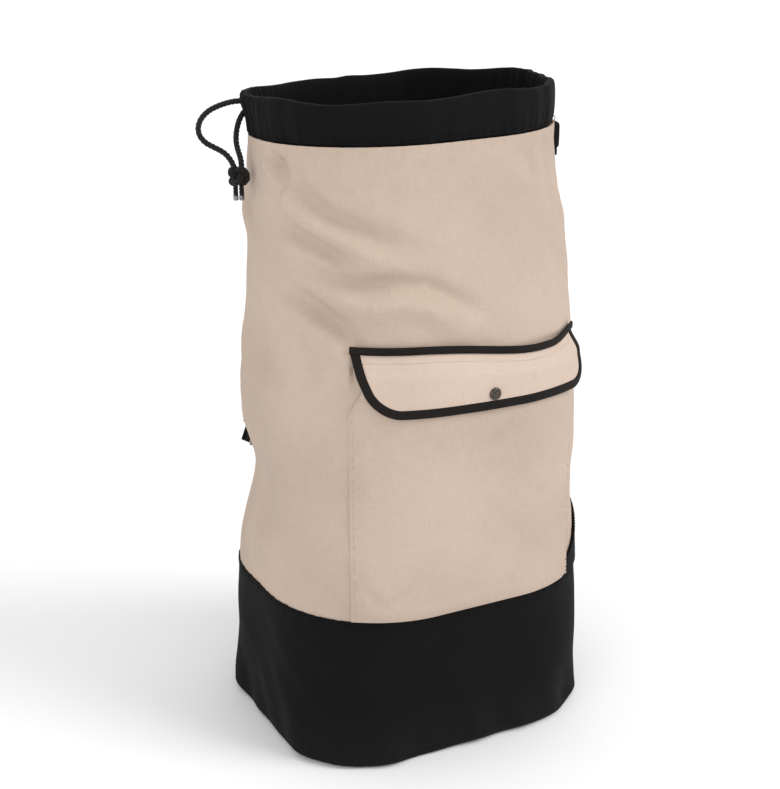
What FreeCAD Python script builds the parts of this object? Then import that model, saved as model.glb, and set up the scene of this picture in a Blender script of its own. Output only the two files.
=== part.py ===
import FreeCAD, Part
import math
import os
import Sketcher
from FreeCAD import Vector

# A free-standing drawstring laundry bag. Millimetres, +Z up, the origin in the middle of
# the bottom panel's underside, the front pocket facing -Y.
# Names: "offset" is a distance outwards from the cloth wall's outer face, and "station" is
# a distance along the wall's outline, from its +X side round the back to its -X side.

doc = FreeCAD.newDocument("LaundryBag")
sizes = doc.addObject("Spreadsheet::Sheet", "Sizes")

DRIVING = [
    # The wall's outline at five levels: half width (X), half depth (Y) and corner radius.
    ("base_level", 0), ("base_width", 181), ("base_depth", 151), ("base_corner", 105),
    ("seam_level", 170), ("seam_width", 183), ("seam_depth", 161), ("seam_corner", 135),
    ("waist_level", 420), ("waist_width", 173), ("waist_depth", 161), ("waist_corner", 140),
    ("neck_level", 648), ("neck_width", 161), ("neck_depth", 137), ("neck_corner", 134),
    ("rim_level", 691), ("rim_width", 160), ("rim_depth", 137), ("rim_corner", 134),
    ("wall_cloth", 2.5),
    ("base_cloth", 4),
    # Drawstring tunnel.
    ("casing_wall", 12), ("casing_ply", 2.4), ("tunnel_height", 34),
    ("cord_radius", 3), ("exit_width", 26), ("exit_height", 22),
    # Pocket and flap on the front.
    ("seam_gap", 0.3), ("pocket_half_width", 130), ("pocket_foot", 171), ("pocket_head", 421),
    ("pocket_room", 6.5), ("pocket_cloth", 2),
    ("flap_half_width", 130), ("flap_foot", 391), ("flap_bend", 435), ("flap_top", 450),
    ("flap_clearance", 2.8), ("flap_cloth", 2), ("flap_corner", 30), ("binding_width", 8),
    ("binding_extra", 0.6), ("flap_top_offset", 3),
    ("tape_foot", 451.6), ("tape_head", 459), ("tape_cloth", 2.4),
    # Press snap.
    ("snap_across", 5), ("snap_level", 406), ("cap_radius", 6.3), ("cap_height", 2.2),
    ("socket_radius", 5.6), ("socket_bore", 3.3), ("socket_gap", 0.5),
    ("stud_radius", 2.2), ("post_radius", 5), ("post_height", 0.7),
    # Strap, its anchors and its slider.
    ("webbing_width", 30), ("webbing_cloth", 2), ("strap_across", -52),
    ("gusset_front", -132), ("gusset_back", 28), ("gusset_edge", 14), ("gusset_rise", 56),
    ("gusset_tip", 34), ("tab_foot", 610), ("tab_length", 15), ("tab_thick", 6),
    ("fold_radius", 3.4), ("bar_radius", 1.6), ("slider_height", 44), ("slider_length", 26),
    # Drawstring knot and ends.
    ("knot_radius", 11), ("knot_height", 12.5), ("end_length", 12), ("end_radius", 2.7),
]
for row, (alias, number) in enumerate(DRIVING, start=1):
    sizes.set(f"A{row}", alias)
    sizes.set(f"B{row}", str(number))
    sizes.setAlias(f"B{row}", alias)
doc.recompute()

LEVELS = ["base", "seam", "waist", "neck", "rim"]
ROOM = 400          # half size of the helper boxes, well outside the bag


def size(alias):
    return float(sizes.get(alias))


def outline_at(level):
    """Half width, half depth and corner radius of the wall's outline at a level."""
    for low, high in zip(LEVELS, LEVELS[1:]):
        bottom, top = size(low + "_level"), size(high + "_level")
        if level <= top or high == "rim":
            share = (level - bottom) / (top - bottom)
            return [size(f"{low}_{key}") + share * (size(f"{high}_{key}") - size(f"{low}_{key}"))
                    for key in ("width", "depth", "corner")]


def outline_runs(level):
    """The outline's runs from its +X side on: (length, whether it is a corner)."""
    half_width, half_depth, corner = outline_at(level)
    flat_x, flat_y = half_width - corner, half_depth - corner
    quarter = corner * math.pi / 2
    return [(flat_y, False), (quarter, True), (2 * flat_x, False), (quarter, True),
            (2 * flat_y, False), (quarter, True), (2 * flat_x, False), (quarter, True),
            (flat_y, False)]


def wall_point(station, level, offset=0.0):
    """A point on the wall, and the outward direction there."""
    half_width, half_depth, corner = outline_at(level)
    runs = outline_runs(level)
    left = station % sum(length for length, turns in runs)
    at, angle = Vector(half_width, 0, level), 0.0
    for length, turns in runs:
        step = min(left, length)
        if turns:
            centre = at - Vector(math.cos(angle), math.sin(angle), 0) * corner
            angle += step / corner
            at = centre + Vector(math.cos(angle), math.sin(angle), 0) * corner
        else:
            at = at + Vector(-math.sin(angle), math.cos(angle), 0) * step
        left -= step
        if left <= 0:
            break
    outward = Vector(math.cos(angle), math.sin(angle), 0)
    return at + outward * offset, outward


# ---------------------------------------------------------------- parametric building blocks

def size_at(key, level):
    """Expression for one outline size (width, depth or corner) at a named or bound level."""
    if level in LEVELS:
        return f"Sizes.{level}_{key}"
    low, high, height = level
    share = f"(({height}) - Sizes.{low}_level) / (Sizes.{high}_level - Sizes.{low}_level)"
    return f"(Sizes.{low}_{key} + (Sizes.{high}_{key} - Sizes.{low}_{key}) * {share})"


def level_of(level):
    return f"Sizes.{level}_level" if level in LEVELS else level[2]


def outline_sketch(name, level, offset):
    """Rounded rectangle, the wall's outline at one level, moved outwards by an expression."""
    sketch = doc.addObject("Sketcher::SketchObject", name)
    wide, deep, corner = 180.0, 150.0, 120.0
    corners = [(wide - corner, -(deep - corner), -90), (wide - corner, deep - corner, 0),
               (-(wide - corner), deep - corner, 90), (-(wide - corner), -(deep - corner), 180)]
    arcs = []
    for x, y, start in corners:
        circle = Part.Circle(Vector(x, y, 0), Vector(0, 0, 1), corner)
        arcs.append(Part.ArcOfCircle(circle, math.radians(start), math.radians(start + 90)))
    for arc, following in zip(arcs, arcs[1:] + arcs[:1]):
        sketch.addGeometry(arc, False)
        sketch.addGeometry(Part.LineSegment(arc.EndPoint, following.StartPoint), False)
    for index in range(8):
        sketch.addConstraint(Sketcher.Constraint("Tangent", index, 2, (index + 1) % 8, 1))
    for direction, line in [("Vertical", 1), ("Horizontal", 3), ("Vertical", 5), ("Horizontal", 7)]:
        sketch.addConstraint(Sketcher.Constraint(direction, line))
    for index in (2, 4, 6):
        sketch.addConstraint(Sketcher.Constraint("Equal", 0, index))
    bound = [
        ("right", Sketcher.Constraint("DistanceX", -1, 1, 1, 1, wide), "width"),
        ("back", Sketcher.Constraint("DistanceY", -1, 1, 3, 1, deep), "depth"),
        ("left", Sketcher.Constraint("DistanceX", 5, 1, -1, 1, wide), "width"),
        ("front", Sketcher.Constraint("DistanceY", 7, 1, -1, 1, deep), "depth"),
        ("radius", Sketcher.Constraint("Radius", 0, corner), "corner"),
    ]
    for label, constraint, key in bound:
        number = sketch.addConstraint(constraint)
        sketch.renameConstraint(number, label)
        sketch.setExpression(f"Constraints.{label}", f"{size_at(key, level)} + ({offset})")
    sketch.setExpression("Placement.Base.z", level_of(level))
    return sketch


def wall_loft(name, levels, offsets):
    """Solid inside the wall's outline between levels, moved outwards by expressions."""
    if isinstance(offsets, str):
        offsets = [offsets] * len(levels)
    loft = doc.addObject("Part::Loft", name)
    loft.Sections = [outline_sketch(f"{name}_outline_{number}", level, offset)
                     for number, (level, offset) in enumerate(zip(levels, offsets))]
    loft.Solid = True
    loft.Ruled = True
    return loft


def block(name, spans):
    """Box between expressions: (low, high) for X, Y and Z."""
    box = doc.addObject("Part::Box", name)
    for axis, side, (low, high) in zip("xyz", ("Length", "Width", "Height"), spans):
        box.setExpression(f"Placement.Base.{axis}", low)
        box.setExpression(side, f"({high}) - ({low})")
    return box


def disc(name, radius, height, across, level):
    """Cylinder whose axis runs along Y; its place along Y is set afterwards."""
    cylinder = doc.addObject("Part::Cylinder", name)
    cylinder.setExpression("Radius", radius)
    cylinder.setExpression("Height", height)
    cylinder.Placement.Rotation = FreeCAD.Rotation(Vector(1, 0, 0), 90)
    cylinder.setExpression("Placement.Base.x", across)
    cylinder.setExpression("Placement.Base.z", level)
    return cylinder


def cut(name, base, tool):
    result = doc.addObject("Part::Cut", name)
    result.Base, result.Tool = base, tool
    return result


def common(name, *shapes):
    result = doc.addObject("Part::MultiCommon", name)
    result.Shapes = list(shapes)
    return result


def fuse(name, *shapes):
    result = doc.addObject("Part::MultiFuse", name)
    result.Shapes = list(shapes)
    return result


def plain(name, shape):
    """Sub-part whose shape is built in code from the sheet's sizes."""
    feature = doc.addObject("Part::Feature", name)
    feature.Shape = shape
    feature.Placement = FreeCAD.Placement()
    return feature


nodes = []


def node(name, feature):
    """Marks a feature as a finished sub-part and names its file."""
    feature.Label = name
    nodes.append(feature)
    return feature


# ---------------------------------------------------------------- bottom, band and cream body

LOW_WALL = ["base", "seam"]
CREAM_WALL = ["seam", "waist", "neck"]

bottom_block = block("bottom_block", [(f"-{ROOM}", f"{ROOM}"), (f"-{ROOM}", f"{ROOM}"),
                                      ("0", "Sizes.base_cloth")])
node("base_panel", common("base_panel_shape", bottom_block,
                          wall_loft("bottom_outline", LOW_WALL, "-Sizes.wall_cloth")))
node("base_band", cut("base_band_shape", wall_loft("band_outside", LOW_WALL, "0"),
                      wall_loft("band_inside", LOW_WALL, "-Sizes.wall_cloth")))

cream_tube = cut("cream_tube", wall_loft("cream_outside", CREAM_WALL, "0"),
                 wall_loft("cream_inside", CREAM_WALL, "-Sizes.wall_cloth"))
front_half = block("front_half", [(f"-{ROOM}", f"{ROOM}"), (f"-{ROOM}", "0"),
                                  ("0", "Sizes.rim_level")])
node("body_front_panel", common("body_front_shape", cream_tube, front_half))
node("body_back_panel", cut("body_back_shape", cream_tube, front_half))

# ---------------------------------------------------------------- casing with its cord tunnel

TOP_WALL = ["neck", "rim"]
TUNNEL_WALL = [("neck", "rim", "(Sizes.neck_level + Sizes.rim_level - Sizes.tunnel_height) / 2"),
               ("neck", "rim", "(Sizes.neck_level + Sizes.rim_level + Sizes.tunnel_height) / 2")]
casing_ring = cut("casing_ring", wall_loft("casing_outside", TOP_WALL, "0"),
                  wall_loft("casing_inside", TOP_WALL, "-Sizes.casing_wall"))
tunnel = cut("tunnel", wall_loft("tunnel_outside", TUNNEL_WALL, "-Sizes.casing_ply"),
             wall_loft("tunnel_inside", TUNNEL_WALL, "Sizes.casing_ply - Sizes.casing_wall"))
EXIT_STATION = 423          # the cord's way out, on the left towards the back
EXIT_LEVEL = 674
exit_point, exit_outward = wall_point(EXIT_STATION, EXIT_LEVEL)
exit_cut = doc.addObject("Part::Box", "exit_cut")
exit_cut.setExpression("Length", "Sizes.casing_wall / 2 + 3")
exit_cut.setExpression("Width", "Sizes.exit_width")
exit_cut.setExpression("Height", "Sizes.exit_height")
exit_side = Vector(-exit_outward.y, exit_outward.x, 0)
exit_cut.Placement = FreeCAD.Placement(
    exit_point - exit_outward * size("casing_wall") / 2 - exit_side * size("exit_width") / 2
    - Vector(0, 0, size("exit_height") / 2),
    FreeCAD.Rotation(Vector(0, 0, 1), math.degrees(math.atan2(exit_outward.y, exit_outward.x))))
node("mouth_casing", cut("casing_shape", casing_ring, fuse("casing_hollows", tunnel, exit_cut)))

# ---------------------------------------------------------------- cords


def cord_tube(points, radius):
    """Round tube along straight runs joined by tangent arcs."""
    points = [Vector(*point) for point in points]
    edges, radii, start = [], [], points[0]
    for before, corner, after in zip(points, points[1:], points[2:]):
        into, out = (corner - before), (after - corner)
        turn = into.getAngle(out)
        reach = 0.45 * min(into.Length, out.Length)
        radii.append(reach / math.tan(turn / 2))
        into.normalize()
        out.normalize()
        first, last = corner - into * reach, corner + out * reach
        middle_way = (out - into).normalize()
        depth = radii[-1] * (1 / math.cos(turn / 2) - 1)
        edges.append(Part.LineSegment(start, first).toShape())
        edges.append(Part.Arc(first, corner + middle_way * depth, last).toShape())
        start = last
    edges.append(Part.LineSegment(start, points[-1]).toShape())
    path = Part.Wire(edges)
    heading = points[1] - points[0]
    section = Part.Wire(Part.Circle(points[0], heading, radius).toShape())
    tube = path.makePipeShell([section], True, True)
    expected = math.pi * radius ** 2 * path.Length
    print(f"cord length {path.Length:.1f}, radii {[round(r, 1) for r in radii]}, "
          f"volume {tube.Volume / expected:.4f} of section times length")
    return tube


def cord_round_mouth(level, offset, gap, radius):
    """The cord inside the tunnel: once round the mouth, its two ends at the way out."""
    joints = [0.0]
    for length, turns in outline_runs(level):
        joints.append(joints[-1] + length)
    once_round = joints[-1]
    first, last = EXIT_STATION + gap, EXIT_STATION + once_round - gap
    stops = [first] + [stop for lap in (0, once_round) for stop in
                       [joint + lap for joint in joints[1:]] if first < stop < last] + [last]
    edges = []
    for start, finish in zip(stops, stops[1:]):
        a, b, c = [wall_point(stop, level, offset)[0]
                   for stop in (start, (start + finish) / 2, finish)]
        straight_run = (b - a).getAngle(c - b) < 1e-6
        edges.append((Part.LineSegment(a, c) if straight_run else Part.Arc(a, b, c)).toShape())
    path = Part.Wire(edges)
    outward = wall_point(first, level)[1]
    circle = Part.Circle(path.Edges[0].Vertexes[0].Point, Vector(-outward.y, outward.x, 0), radius)
    tube = path.makePipeShell([Part.Wire(circle.toShape())], True, True)
    print(f"cord in the tunnel {path.Length:.0f}, "
          f"volume {tube.Volume / (math.pi * radius ** 2 * path.Length):.4f}")
    return tube


inner_cord = cord_round_mouth(EXIT_LEVEL, -size("casing_wall") / 2, size("exit_width") / 2 - 3,
                              size("cord_radius"))
node("drawstring_in_casing", plain("inner_cord", inner_cord))

KNOT_CENTRE = Vector(-183, 14, 607)
knot = doc.addObject("Part::Ellipsoid", "knot_body")
knot.setExpression("Radius1", "Sizes.knot_height")
knot.setExpression("Radius2", "Sizes.knot_radius")
knot.setExpression("Radius3", "Sizes.knot_radius")
knot.Placement.Base = KNOT_CENTRE
doc.recompute()

LOOP_ROUTE = [(-152, 53, 675), (-161, 57, 676), (-172, 58, 675), (-185, 57, 672), (-198, 55, 667),
              (-208, 52, 658), (-211, 48, 647), (-206, 43, 638), (-197, 38, 633), (-189, 32, 628),
              (-185, 26, 621), (-184.5, 20, 615), (-184.5, 15, 609)]
STRAIGHT_ROUTE = [(-154, 48, 671), (-161, 47, 667), (-168, 44, 659), (-173, 40, 649),
                  (-176, 35, 639), (-177, 28, 631), (-177, 21, 624), (-178, 16, 617),
                  (-180, 14, 609)]
for name, route in [("drawstring_loop_strand", LOOP_ROUTE),
                    ("drawstring_straight_strand", STRAIGHT_ROUTE)]:
    strand = cord_tube(route, size("cord_radius")).cut(knot.Shape)
    node(name, plain(name + "_tube", strand))
ends = []
for name, lean in [("drawstring_end_left", -1), ("drawstring_end_right", 1)]:
    end = doc.addObject("Part::Cylinder", name + "_whole")
    end.setExpression("Radius", "Sizes.end_radius")
    end.setExpression("Height", "Sizes.knot_height + Sizes.end_length")
    side = Vector(0.886, -0.464, 0) * (lean * (size("end_radius") + 0.25))
    top = KNOT_CENTRE + side
    end.Placement = FreeCAD.Placement(top, FreeCAD.Rotation(Vector(1, 0, 0), 180))
    ends.append((name, end))
for name, end in ends:
    node(name, cut(name + "_below_knot", end, knot))
node("drawstring_knot", knot)

# ---------------------------------------------------------------- pocket

POCKET_WALL = ["seam", "waist", ("waist", "neck", "Sizes.pocket_head")]
POCKET_OUTER = "Sizes.seam_gap + Sizes.pocket_room + Sizes.pocket_cloth"
pocket_span = [("-Sizes.pocket_half_width", "Sizes.pocket_half_width"), (f"-{ROOM}", "0"),
               ("Sizes.pocket_foot", "Sizes.pocket_head")]
room_span = [("Sizes.pocket_cloth - Sizes.pocket_half_width",
              "Sizes.pocket_half_width - Sizes.pocket_cloth"), (f"-{ROOM}", "0"),
             ("Sizes.pocket_foot + Sizes.pocket_cloth", "Sizes.pocket_head + 1")]
pocket_block = common("pocket_block", block("pocket_span", pocket_span),
                      wall_loft("pocket_outside", POCKET_WALL, POCKET_OUTER))
pocket_room = common("pocket_room", block("room_span", room_span),
                     wall_loft("pocket_inside", POCKET_WALL, "Sizes.seam_gap + Sizes.pocket_room"))
pocket_back = wall_loft("pocket_back", POCKET_WALL, "Sizes.seam_gap")
node("pocket_panel", cut("pocket_shape", pocket_block,
                         fuse("pocket_hollow", pocket_room, pocket_back)))

# ---------------------------------------------------------------- flap, its binding and tape

FLAP_WALL = [("seam", "waist", "Sizes.flap_foot - 2"), "waist",
             ("waist", "neck", "Sizes.flap_bend"), ("waist", "neck", "Sizes.flap_top")]
FLAP_LOW = f"{POCKET_OUTER} + Sizes.flap_clearance"


def flap_shell(name, inner, outer):
    """Curved sheet over the pocket's front, bent in to the wall at its top."""
    inside = [f"{FLAP_LOW} + ({inner})"] * 3 + [f"Sizes.flap_top_offset + ({inner})"]
    outside = [f"{FLAP_LOW} + ({outer})"] * 3 + [f"Sizes.flap_top_offset + ({outer})"]
    return cut(name, wall_loft(name + "_outside", FLAP_WALL, outside),
               wall_loft(name + "_inside", FLAP_WALL, inside))


def flap_outline(name, margin):
    """Pad of the flap's outline, with its two lower corners rounded."""
    sketch = doc.addObject("Sketcher::SketchObject", name + "_sketch")
    half, foot, top, corner = 120.0, 400.0, 450.0, 20.0
    right = Part.Circle(Vector(half - corner, foot + corner, 0), Vector(0, 0, 1), corner)
    left = Part.Circle(Vector(corner - half, foot + corner, 0), Vector(0, 0, 1), corner)
    pieces = [
        Part.LineSegment(Vector(corner - half, foot, 0), Vector(half - corner, foot, 0)),
        Part.ArcOfCircle(right, -math.pi / 2, 0),
        Part.LineSegment(Vector(half, foot + corner, 0), Vector(half, top, 0)),
        Part.LineSegment(Vector(half, top, 0), Vector(-half, top, 0)),
        Part.LineSegment(Vector(-half, top, 0), Vector(-half, foot + corner, 0)),
        Part.ArcOfCircle(left, math.pi, 1.5 * math.pi),
    ]
    for piece in pieces:
        sketch.addGeometry(piece, False)
    joins = [("Tangent", 0, 1), ("Tangent", 1, 2), ("Coincident", 2, 3), ("Coincident", 3, 4),
             ("Tangent", 4, 5), ("Tangent", 5, 0)]
    for kind, first, second in joins:
        sketch.addConstraint(Sketcher.Constraint(kind, first, 2, second, 1))
    sketch.addConstraint(Sketcher.Constraint("Horizontal", 0))
    sketch.addConstraint(Sketcher.Constraint("Horizontal", 3))
    sketch.addConstraint(Sketcher.Constraint("Vertical", 2))
    sketch.addConstraint(Sketcher.Constraint("Equal", 1, 5))
    bound = [
        ("right", Sketcher.Constraint("DistanceX", -1, 1, 2, 1, half),
         f"Sizes.flap_half_width - ({margin})"),
        ("left", Sketcher.Constraint("DistanceX", 4, 1, -1, 1, half),
         f"Sizes.flap_half_width - ({margin})"),
        ("foot", Sketcher.Constraint("DistanceY", -1, 1, 0, 1, foot),
         f"Sizes.flap_foot + ({margin})"),
        ("top", Sketcher.Constraint("DistanceY", -1, 1, 3, 1, top), "Sizes.flap_top"),
        ("radius", Sketcher.Constraint("Radius", 1, corner), f"Sizes.flap_corner - ({margin})"),
    ]
    for label, constraint, expression in bound:
        number = sketch.addConstraint(constraint)
        sketch.renameConstraint(number, label)
        sketch.setExpression(f"Constraints.{label}", expression)
    sketch.Placement.Rotation = FreeCAD.Rotation(Vector(1, 0, 0), 90)
    pad = doc.addObject("Part::Extrusion", name)
    pad.Base = sketch
    pad.DirMode = "Normal"
    pad.LengthFwd = ROOM
    pad.Solid = True
    return pad


inner_outline = flap_outline("flap_inner_outline", "Sizes.binding_width")
outer_outline = flap_outline("flap_outer_outline", "0")
node("flap_panel", common("flap_panel_shape", inner_outline,
                          flap_shell("flap_sheet", "0", "Sizes.flap_cloth")))
node("flap_binding", cut("flap_binding_shape",
                         common("binding_blank", outer_outline,
                                flap_shell("binding_sheet", "-Sizes.binding_extra",
                                           "Sizes.flap_cloth + Sizes.binding_extra")),
                         inner_outline))
TAPE_WALL = [("waist", "neck", "Sizes.tape_foot"), ("waist", "neck", "Sizes.tape_head")]
tape_span = block("tape_span", [("-Sizes.flap_half_width", "Sizes.flap_half_width"),
                                (f"-{ROOM}", "0"), ("Sizes.tape_foot", "Sizes.tape_head")])
tape_ring = cut("tape_ring",
                wall_loft("tape_outside", TAPE_WALL, "Sizes.seam_gap + Sizes.tape_cloth"),
                wall_loft("tape_inside", TAPE_WALL, "Sizes.seam_gap"))
node("flap_top_tape", common("tape_shape", tape_span, tape_ring))

# ---------------------------------------------------------------- press snap

doc.recompute()
ACROSS, LEVEL = "Sizes.snap_across", "Sizes.snap_level"
FRONT = f"-({size_at('depth', ('seam', 'waist', LEVEL))})"      # the wall's front face at the snap
FLAP_FACE = f"{FRONT} - ({FLAP_LOW} + Sizes.flap_cloth)"
FLAP_INSIDE = f"{FRONT} - ({FLAP_LOW})"
POCKET_FACE = f"{FRONT} - ({POCKET_OUTER})"

cap = disc("cap_disc", "Sizes.cap_radius", "Sizes.cap_height", ACROSS, LEVEL)
cap.setExpression("Placement.Base.y", FLAP_FACE)
doc.recompute()
cap_dome = doc.addObject("Part::Fillet", "cap_dome")
cap_dome.Base = cap
rim_edge = min(range(len(cap.Shape.Edges)),
               key=lambda number: cap.Shape.Edges[number].CenterOfMass.y)
cap_dome.Edges = [(rim_edge + 1, size("cap_height") * 0.8, size("cap_height") * 0.8)]
node("snap_cap", cap_dome)

SOCKET_HEIGHT = "(Sizes.flap_clearance - Sizes.socket_gap)"
socket = disc("socket_disc", "Sizes.socket_radius", SOCKET_HEIGHT, ACROSS, LEVEL)
socket.setExpression("Placement.Base.y", f"{FLAP_INSIDE} + {SOCKET_HEIGHT}")
bore = disc("socket_hole", "Sizes.socket_bore", SOCKET_HEIGHT, ACROSS, LEVEL)
bore.setExpression("Placement.Base.y", f"{FLAP_INSIDE} + {SOCKET_HEIGHT}")
node("snap_socket", cut("snap_socket_shape", socket, bore))

stud = disc("stud_post", "Sizes.stud_radius", "Sizes.flap_clearance - Sizes.socket_gap",
            ACROSS, LEVEL)
stud.setExpression("Placement.Base.y", POCKET_FACE)
node("snap_stud", stud)
post = disc("post_disc", "Sizes.post_radius", "Sizes.post_height", ACROSS, LEVEL)
post.setExpression("Placement.Base.y", f"{FRONT} - Sizes.seam_gap - Sizes.pocket_room"
                                       " + Sizes.post_height")
node("snap_post", post)

# ---------------------------------------------------------------- strap

GUSSET_WALL = ["seam", "waist"]
gusset_ring = cut("gusset_ring",
                  wall_loft("gusset_outside", GUSSET_WALL, "Sizes.seam_gap + Sizes.wall_cloth"),
                  wall_loft("gusset_inside", GUSSET_WALL, "Sizes.seam_gap"))
front, back = size("gusset_front"), size("gusset_back")
foot, middle = size("seam_level") + 1, size("strap_across")
gusset_outline = Part.makePolygon([
    Vector(0, front, foot), Vector(0, back, foot), Vector(0, back, foot + size("gusset_edge")),
    Vector(0, middle + size("gusset_tip") / 2, foot + size("gusset_rise")),
    Vector(0, middle - size("gusset_tip") / 2, foot + size("gusset_rise")),
    Vector(0, front, foot + size("gusset_edge")), Vector(0, front, foot)])
gusset_block = plain("gusset_block", Part.Face(gusset_outline).extrude(Vector(ROOM, 0, 0)))
node("strap_gusset", common("gusset_shape", gusset_ring, gusset_block))


def ribbon(path, width, thickness):
    """Flat strip that wraps upright surfaces: path holds points of its middle line."""
    sections = []
    for number, point in enumerate(path):
        along = path[min(number + 1, len(path) - 1)] - path[max(number - 1, 0)]
        flat = Vector(along.x, along.y, 0)
        slope = math.atan2(along.z, flat.Length)
        flat.normalize()
        across = (Vector(0, 0, 1) * math.cos(slope) - flat * math.sin(slope)) * (width / 2)
        face = Vector(flat.y, -flat.x, 0) * (thickness / 2)
        sections.append([point + across + face, point - across + face,
                         point - across - face, point + across - face])
    outlines = [sections[0], sections[-1][::-1]]
    for section, following in zip(sections, sections[1:]):
        for side in range(4):
            a, b = section[side], section[(side + 1) % 4]
            c, d = following[(side + 1) % 4], following[side]
            outlines += [[a, b, c], [a, c, d]]
    faces = [Part.Face(Part.makePolygon(outline + outline[:1])) for outline in outlines]
    shell = Part.makeShell(faces)
    shell.sewShape()
    strip = Part.makeSolid(shell)
    if strip.Volume < 0:
        strip.reverse()
    length = sum((b - a).Length for a, b in zip(path, path[1:]))
    print(f"strip length {length:.0f}, volume "
          f"{strip.Volume / (width * thickness * length):.3f} of section times length")
    return strip


# The strap leaves its upper tab, goes round the back, folds round the slider's end bar on
# the left and comes back lower down to the gusset: (station, level, offset).
UPPER_RUN = [(-51, 625, 6), (-20, 622, 5.5), (10, 612, 5.5), (40, 594, 5.5), (70, 570, 5.5),
             (100, 545, 5.5), (130, 520, 5.5), (160, 495, 5.5), (190, 470, 5.5), (220, 445, 5.5),
             (250, 419, 5.5), (280, 393, 5.5), (307, 369, 6), (335, 345, 10)]
FOLD_STOP = (407, 298, 9)
LOWER_RUN = [(361, 261, 13), (333, 246, 10), (303, 236, 7), (273, 229, 5.5), (237, 224, 5.5),
             (200, 220, 5.5), (163, 217, 5.5), (126, 214, 5.5), (90, 212, 5.5), (54, 210, 5.5),
             (18, 208, 5.5), (-18, 206, 5.5), (-51, 205, 6)]
strap_path = [wall_point(*stop)[0] for stop in UPPER_RUN]
fold_start, fold_outward = wall_point(*FOLD_STOP)
heading = fold_start - strap_path[-1]
heading = Vector(heading.x, heading.y, 0).normalize()
sideways = Vector(heading.y, -heading.x, 0)
if sideways.dot(fold_outward) < 0:
    sideways = sideways * -1
SLOPE = 0.6
fold_radius = size("fold_radius")
FOLD_DROP = SLOPE * fold_radius * math.pi / 2
fold_centre = fold_start + sideways * fold_radius
for degrees in range(0, 181, 30):
    turn = math.radians(degrees)
    strap_path.append(fold_centre + heading * fold_radius * math.sin(turn)
                      - sideways * fold_radius * math.cos(turn)
                      - Vector(0, 0, SLOPE * fold_radius * turn))
strap_path += [wall_point(*stop)[0] for stop in LOWER_RUN]
node("strap_webbing", plain("webbing", ribbon(strap_path, size("webbing_width"),
                                              size("webbing_cloth"))))

TAB_END = -54
TAB_OFFSET = 1.5            # clear of the wall, which leans in towards the mouth
tab_stops = [wall_point(station, size("tab_foot") + size("webbing_width") / 2,
                        TAB_OFFSET + size("tab_thick") / 2)[0]
             for station in (TAB_END - size("tab_length"), TAB_END - size("tab_length") / 2,
                             TAB_END)]
node("strap_top_tab", plain("top_tab", ribbon(tab_stops, size("webbing_width"),
                                              size("tab_thick"))))

# The slider: a flat frame whose end bar lies inside the fold, and its middle bar.
straight = (strap_path[len(UPPER_RUN)] - strap_path[len(UPPER_RUN) - 1]).normalize()
bar, half = size("bar_radius"), size("slider_height") / 2


def slider_point(along, up):
    """A point of the slider's middle plane, from the middle of the strap's fold."""
    return fold_centre + heading * along + Vector(0, 0, up - FOLD_DROP)


def slider_rod(start, finish):
    """Round bar between two points given along the slider and up it."""
    first = slider_point(*start)
    last = slider_point(*finish)
    return Part.makeCylinder(bar, (last - first).Length, first, last - first)


def slider_corner(along, up):
    return Part.makeSphere(bar, slider_point(along, up))


long_side = -size("slider_length")
frame_shape = slider_rod((0, -half), (0, half))
for along, up in [(0, -half), (0, half), (long_side, half), (long_side, -half)]:
    frame_shape = frame_shape.fuse(slider_corner(along, up))
for start, finish in [((0, half), (long_side, half)), ((long_side, half), (long_side, -half)),
                      ((long_side, -half), (0, -half))]:
    frame_shape = frame_shape.fuse(slider_rod(start, finish))
node("slider_frame", plain("slider_ring", frame_shape))
middle_bar = slider_rod((long_side / 2, -half), (long_side / 2, half)).cut(frame_shape)
node("slider_bar", plain("slider_middle", middle_bar))
print("slider axis", [round(value, 4) for value in straight * -1])

# ---------------------------------------------------------------- checks and files

doc.recompute()
for item in doc.Objects:
    if "Invalid" in item.State or "Error" in item.State:
        raise RuntimeError(f"{item.Name} failed: {item.State}")
os.makedirs("parts", exist_ok=True)
for item in nodes:
    if item.Shape.isNull() or not item.Shape.isValid() or not item.Shape.Solids:
        raise RuntimeError(f"{item.Label} is not a valid solid")
    print(f"{item.Label}: {len(item.Shape.Solids)} solid, {item.Shape.Volume / 1000:.1f} cm3")
    item.Shape.exportStep(f"parts/{item.Label}.step")
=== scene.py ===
# %% [markdown]
# A free-standing laundry bag: a cream canvas tube on a black foot band, a black drawstring
# casing round its mouth, a snap-flap pocket on the front and a webbing shoulder strap.
# The imported CAD model is loaded first as a fixed frame. Everything modelled below takes its
# place from that frame; most pieces ride on one of its bodies and stand for one of its nodes.

import math

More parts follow.
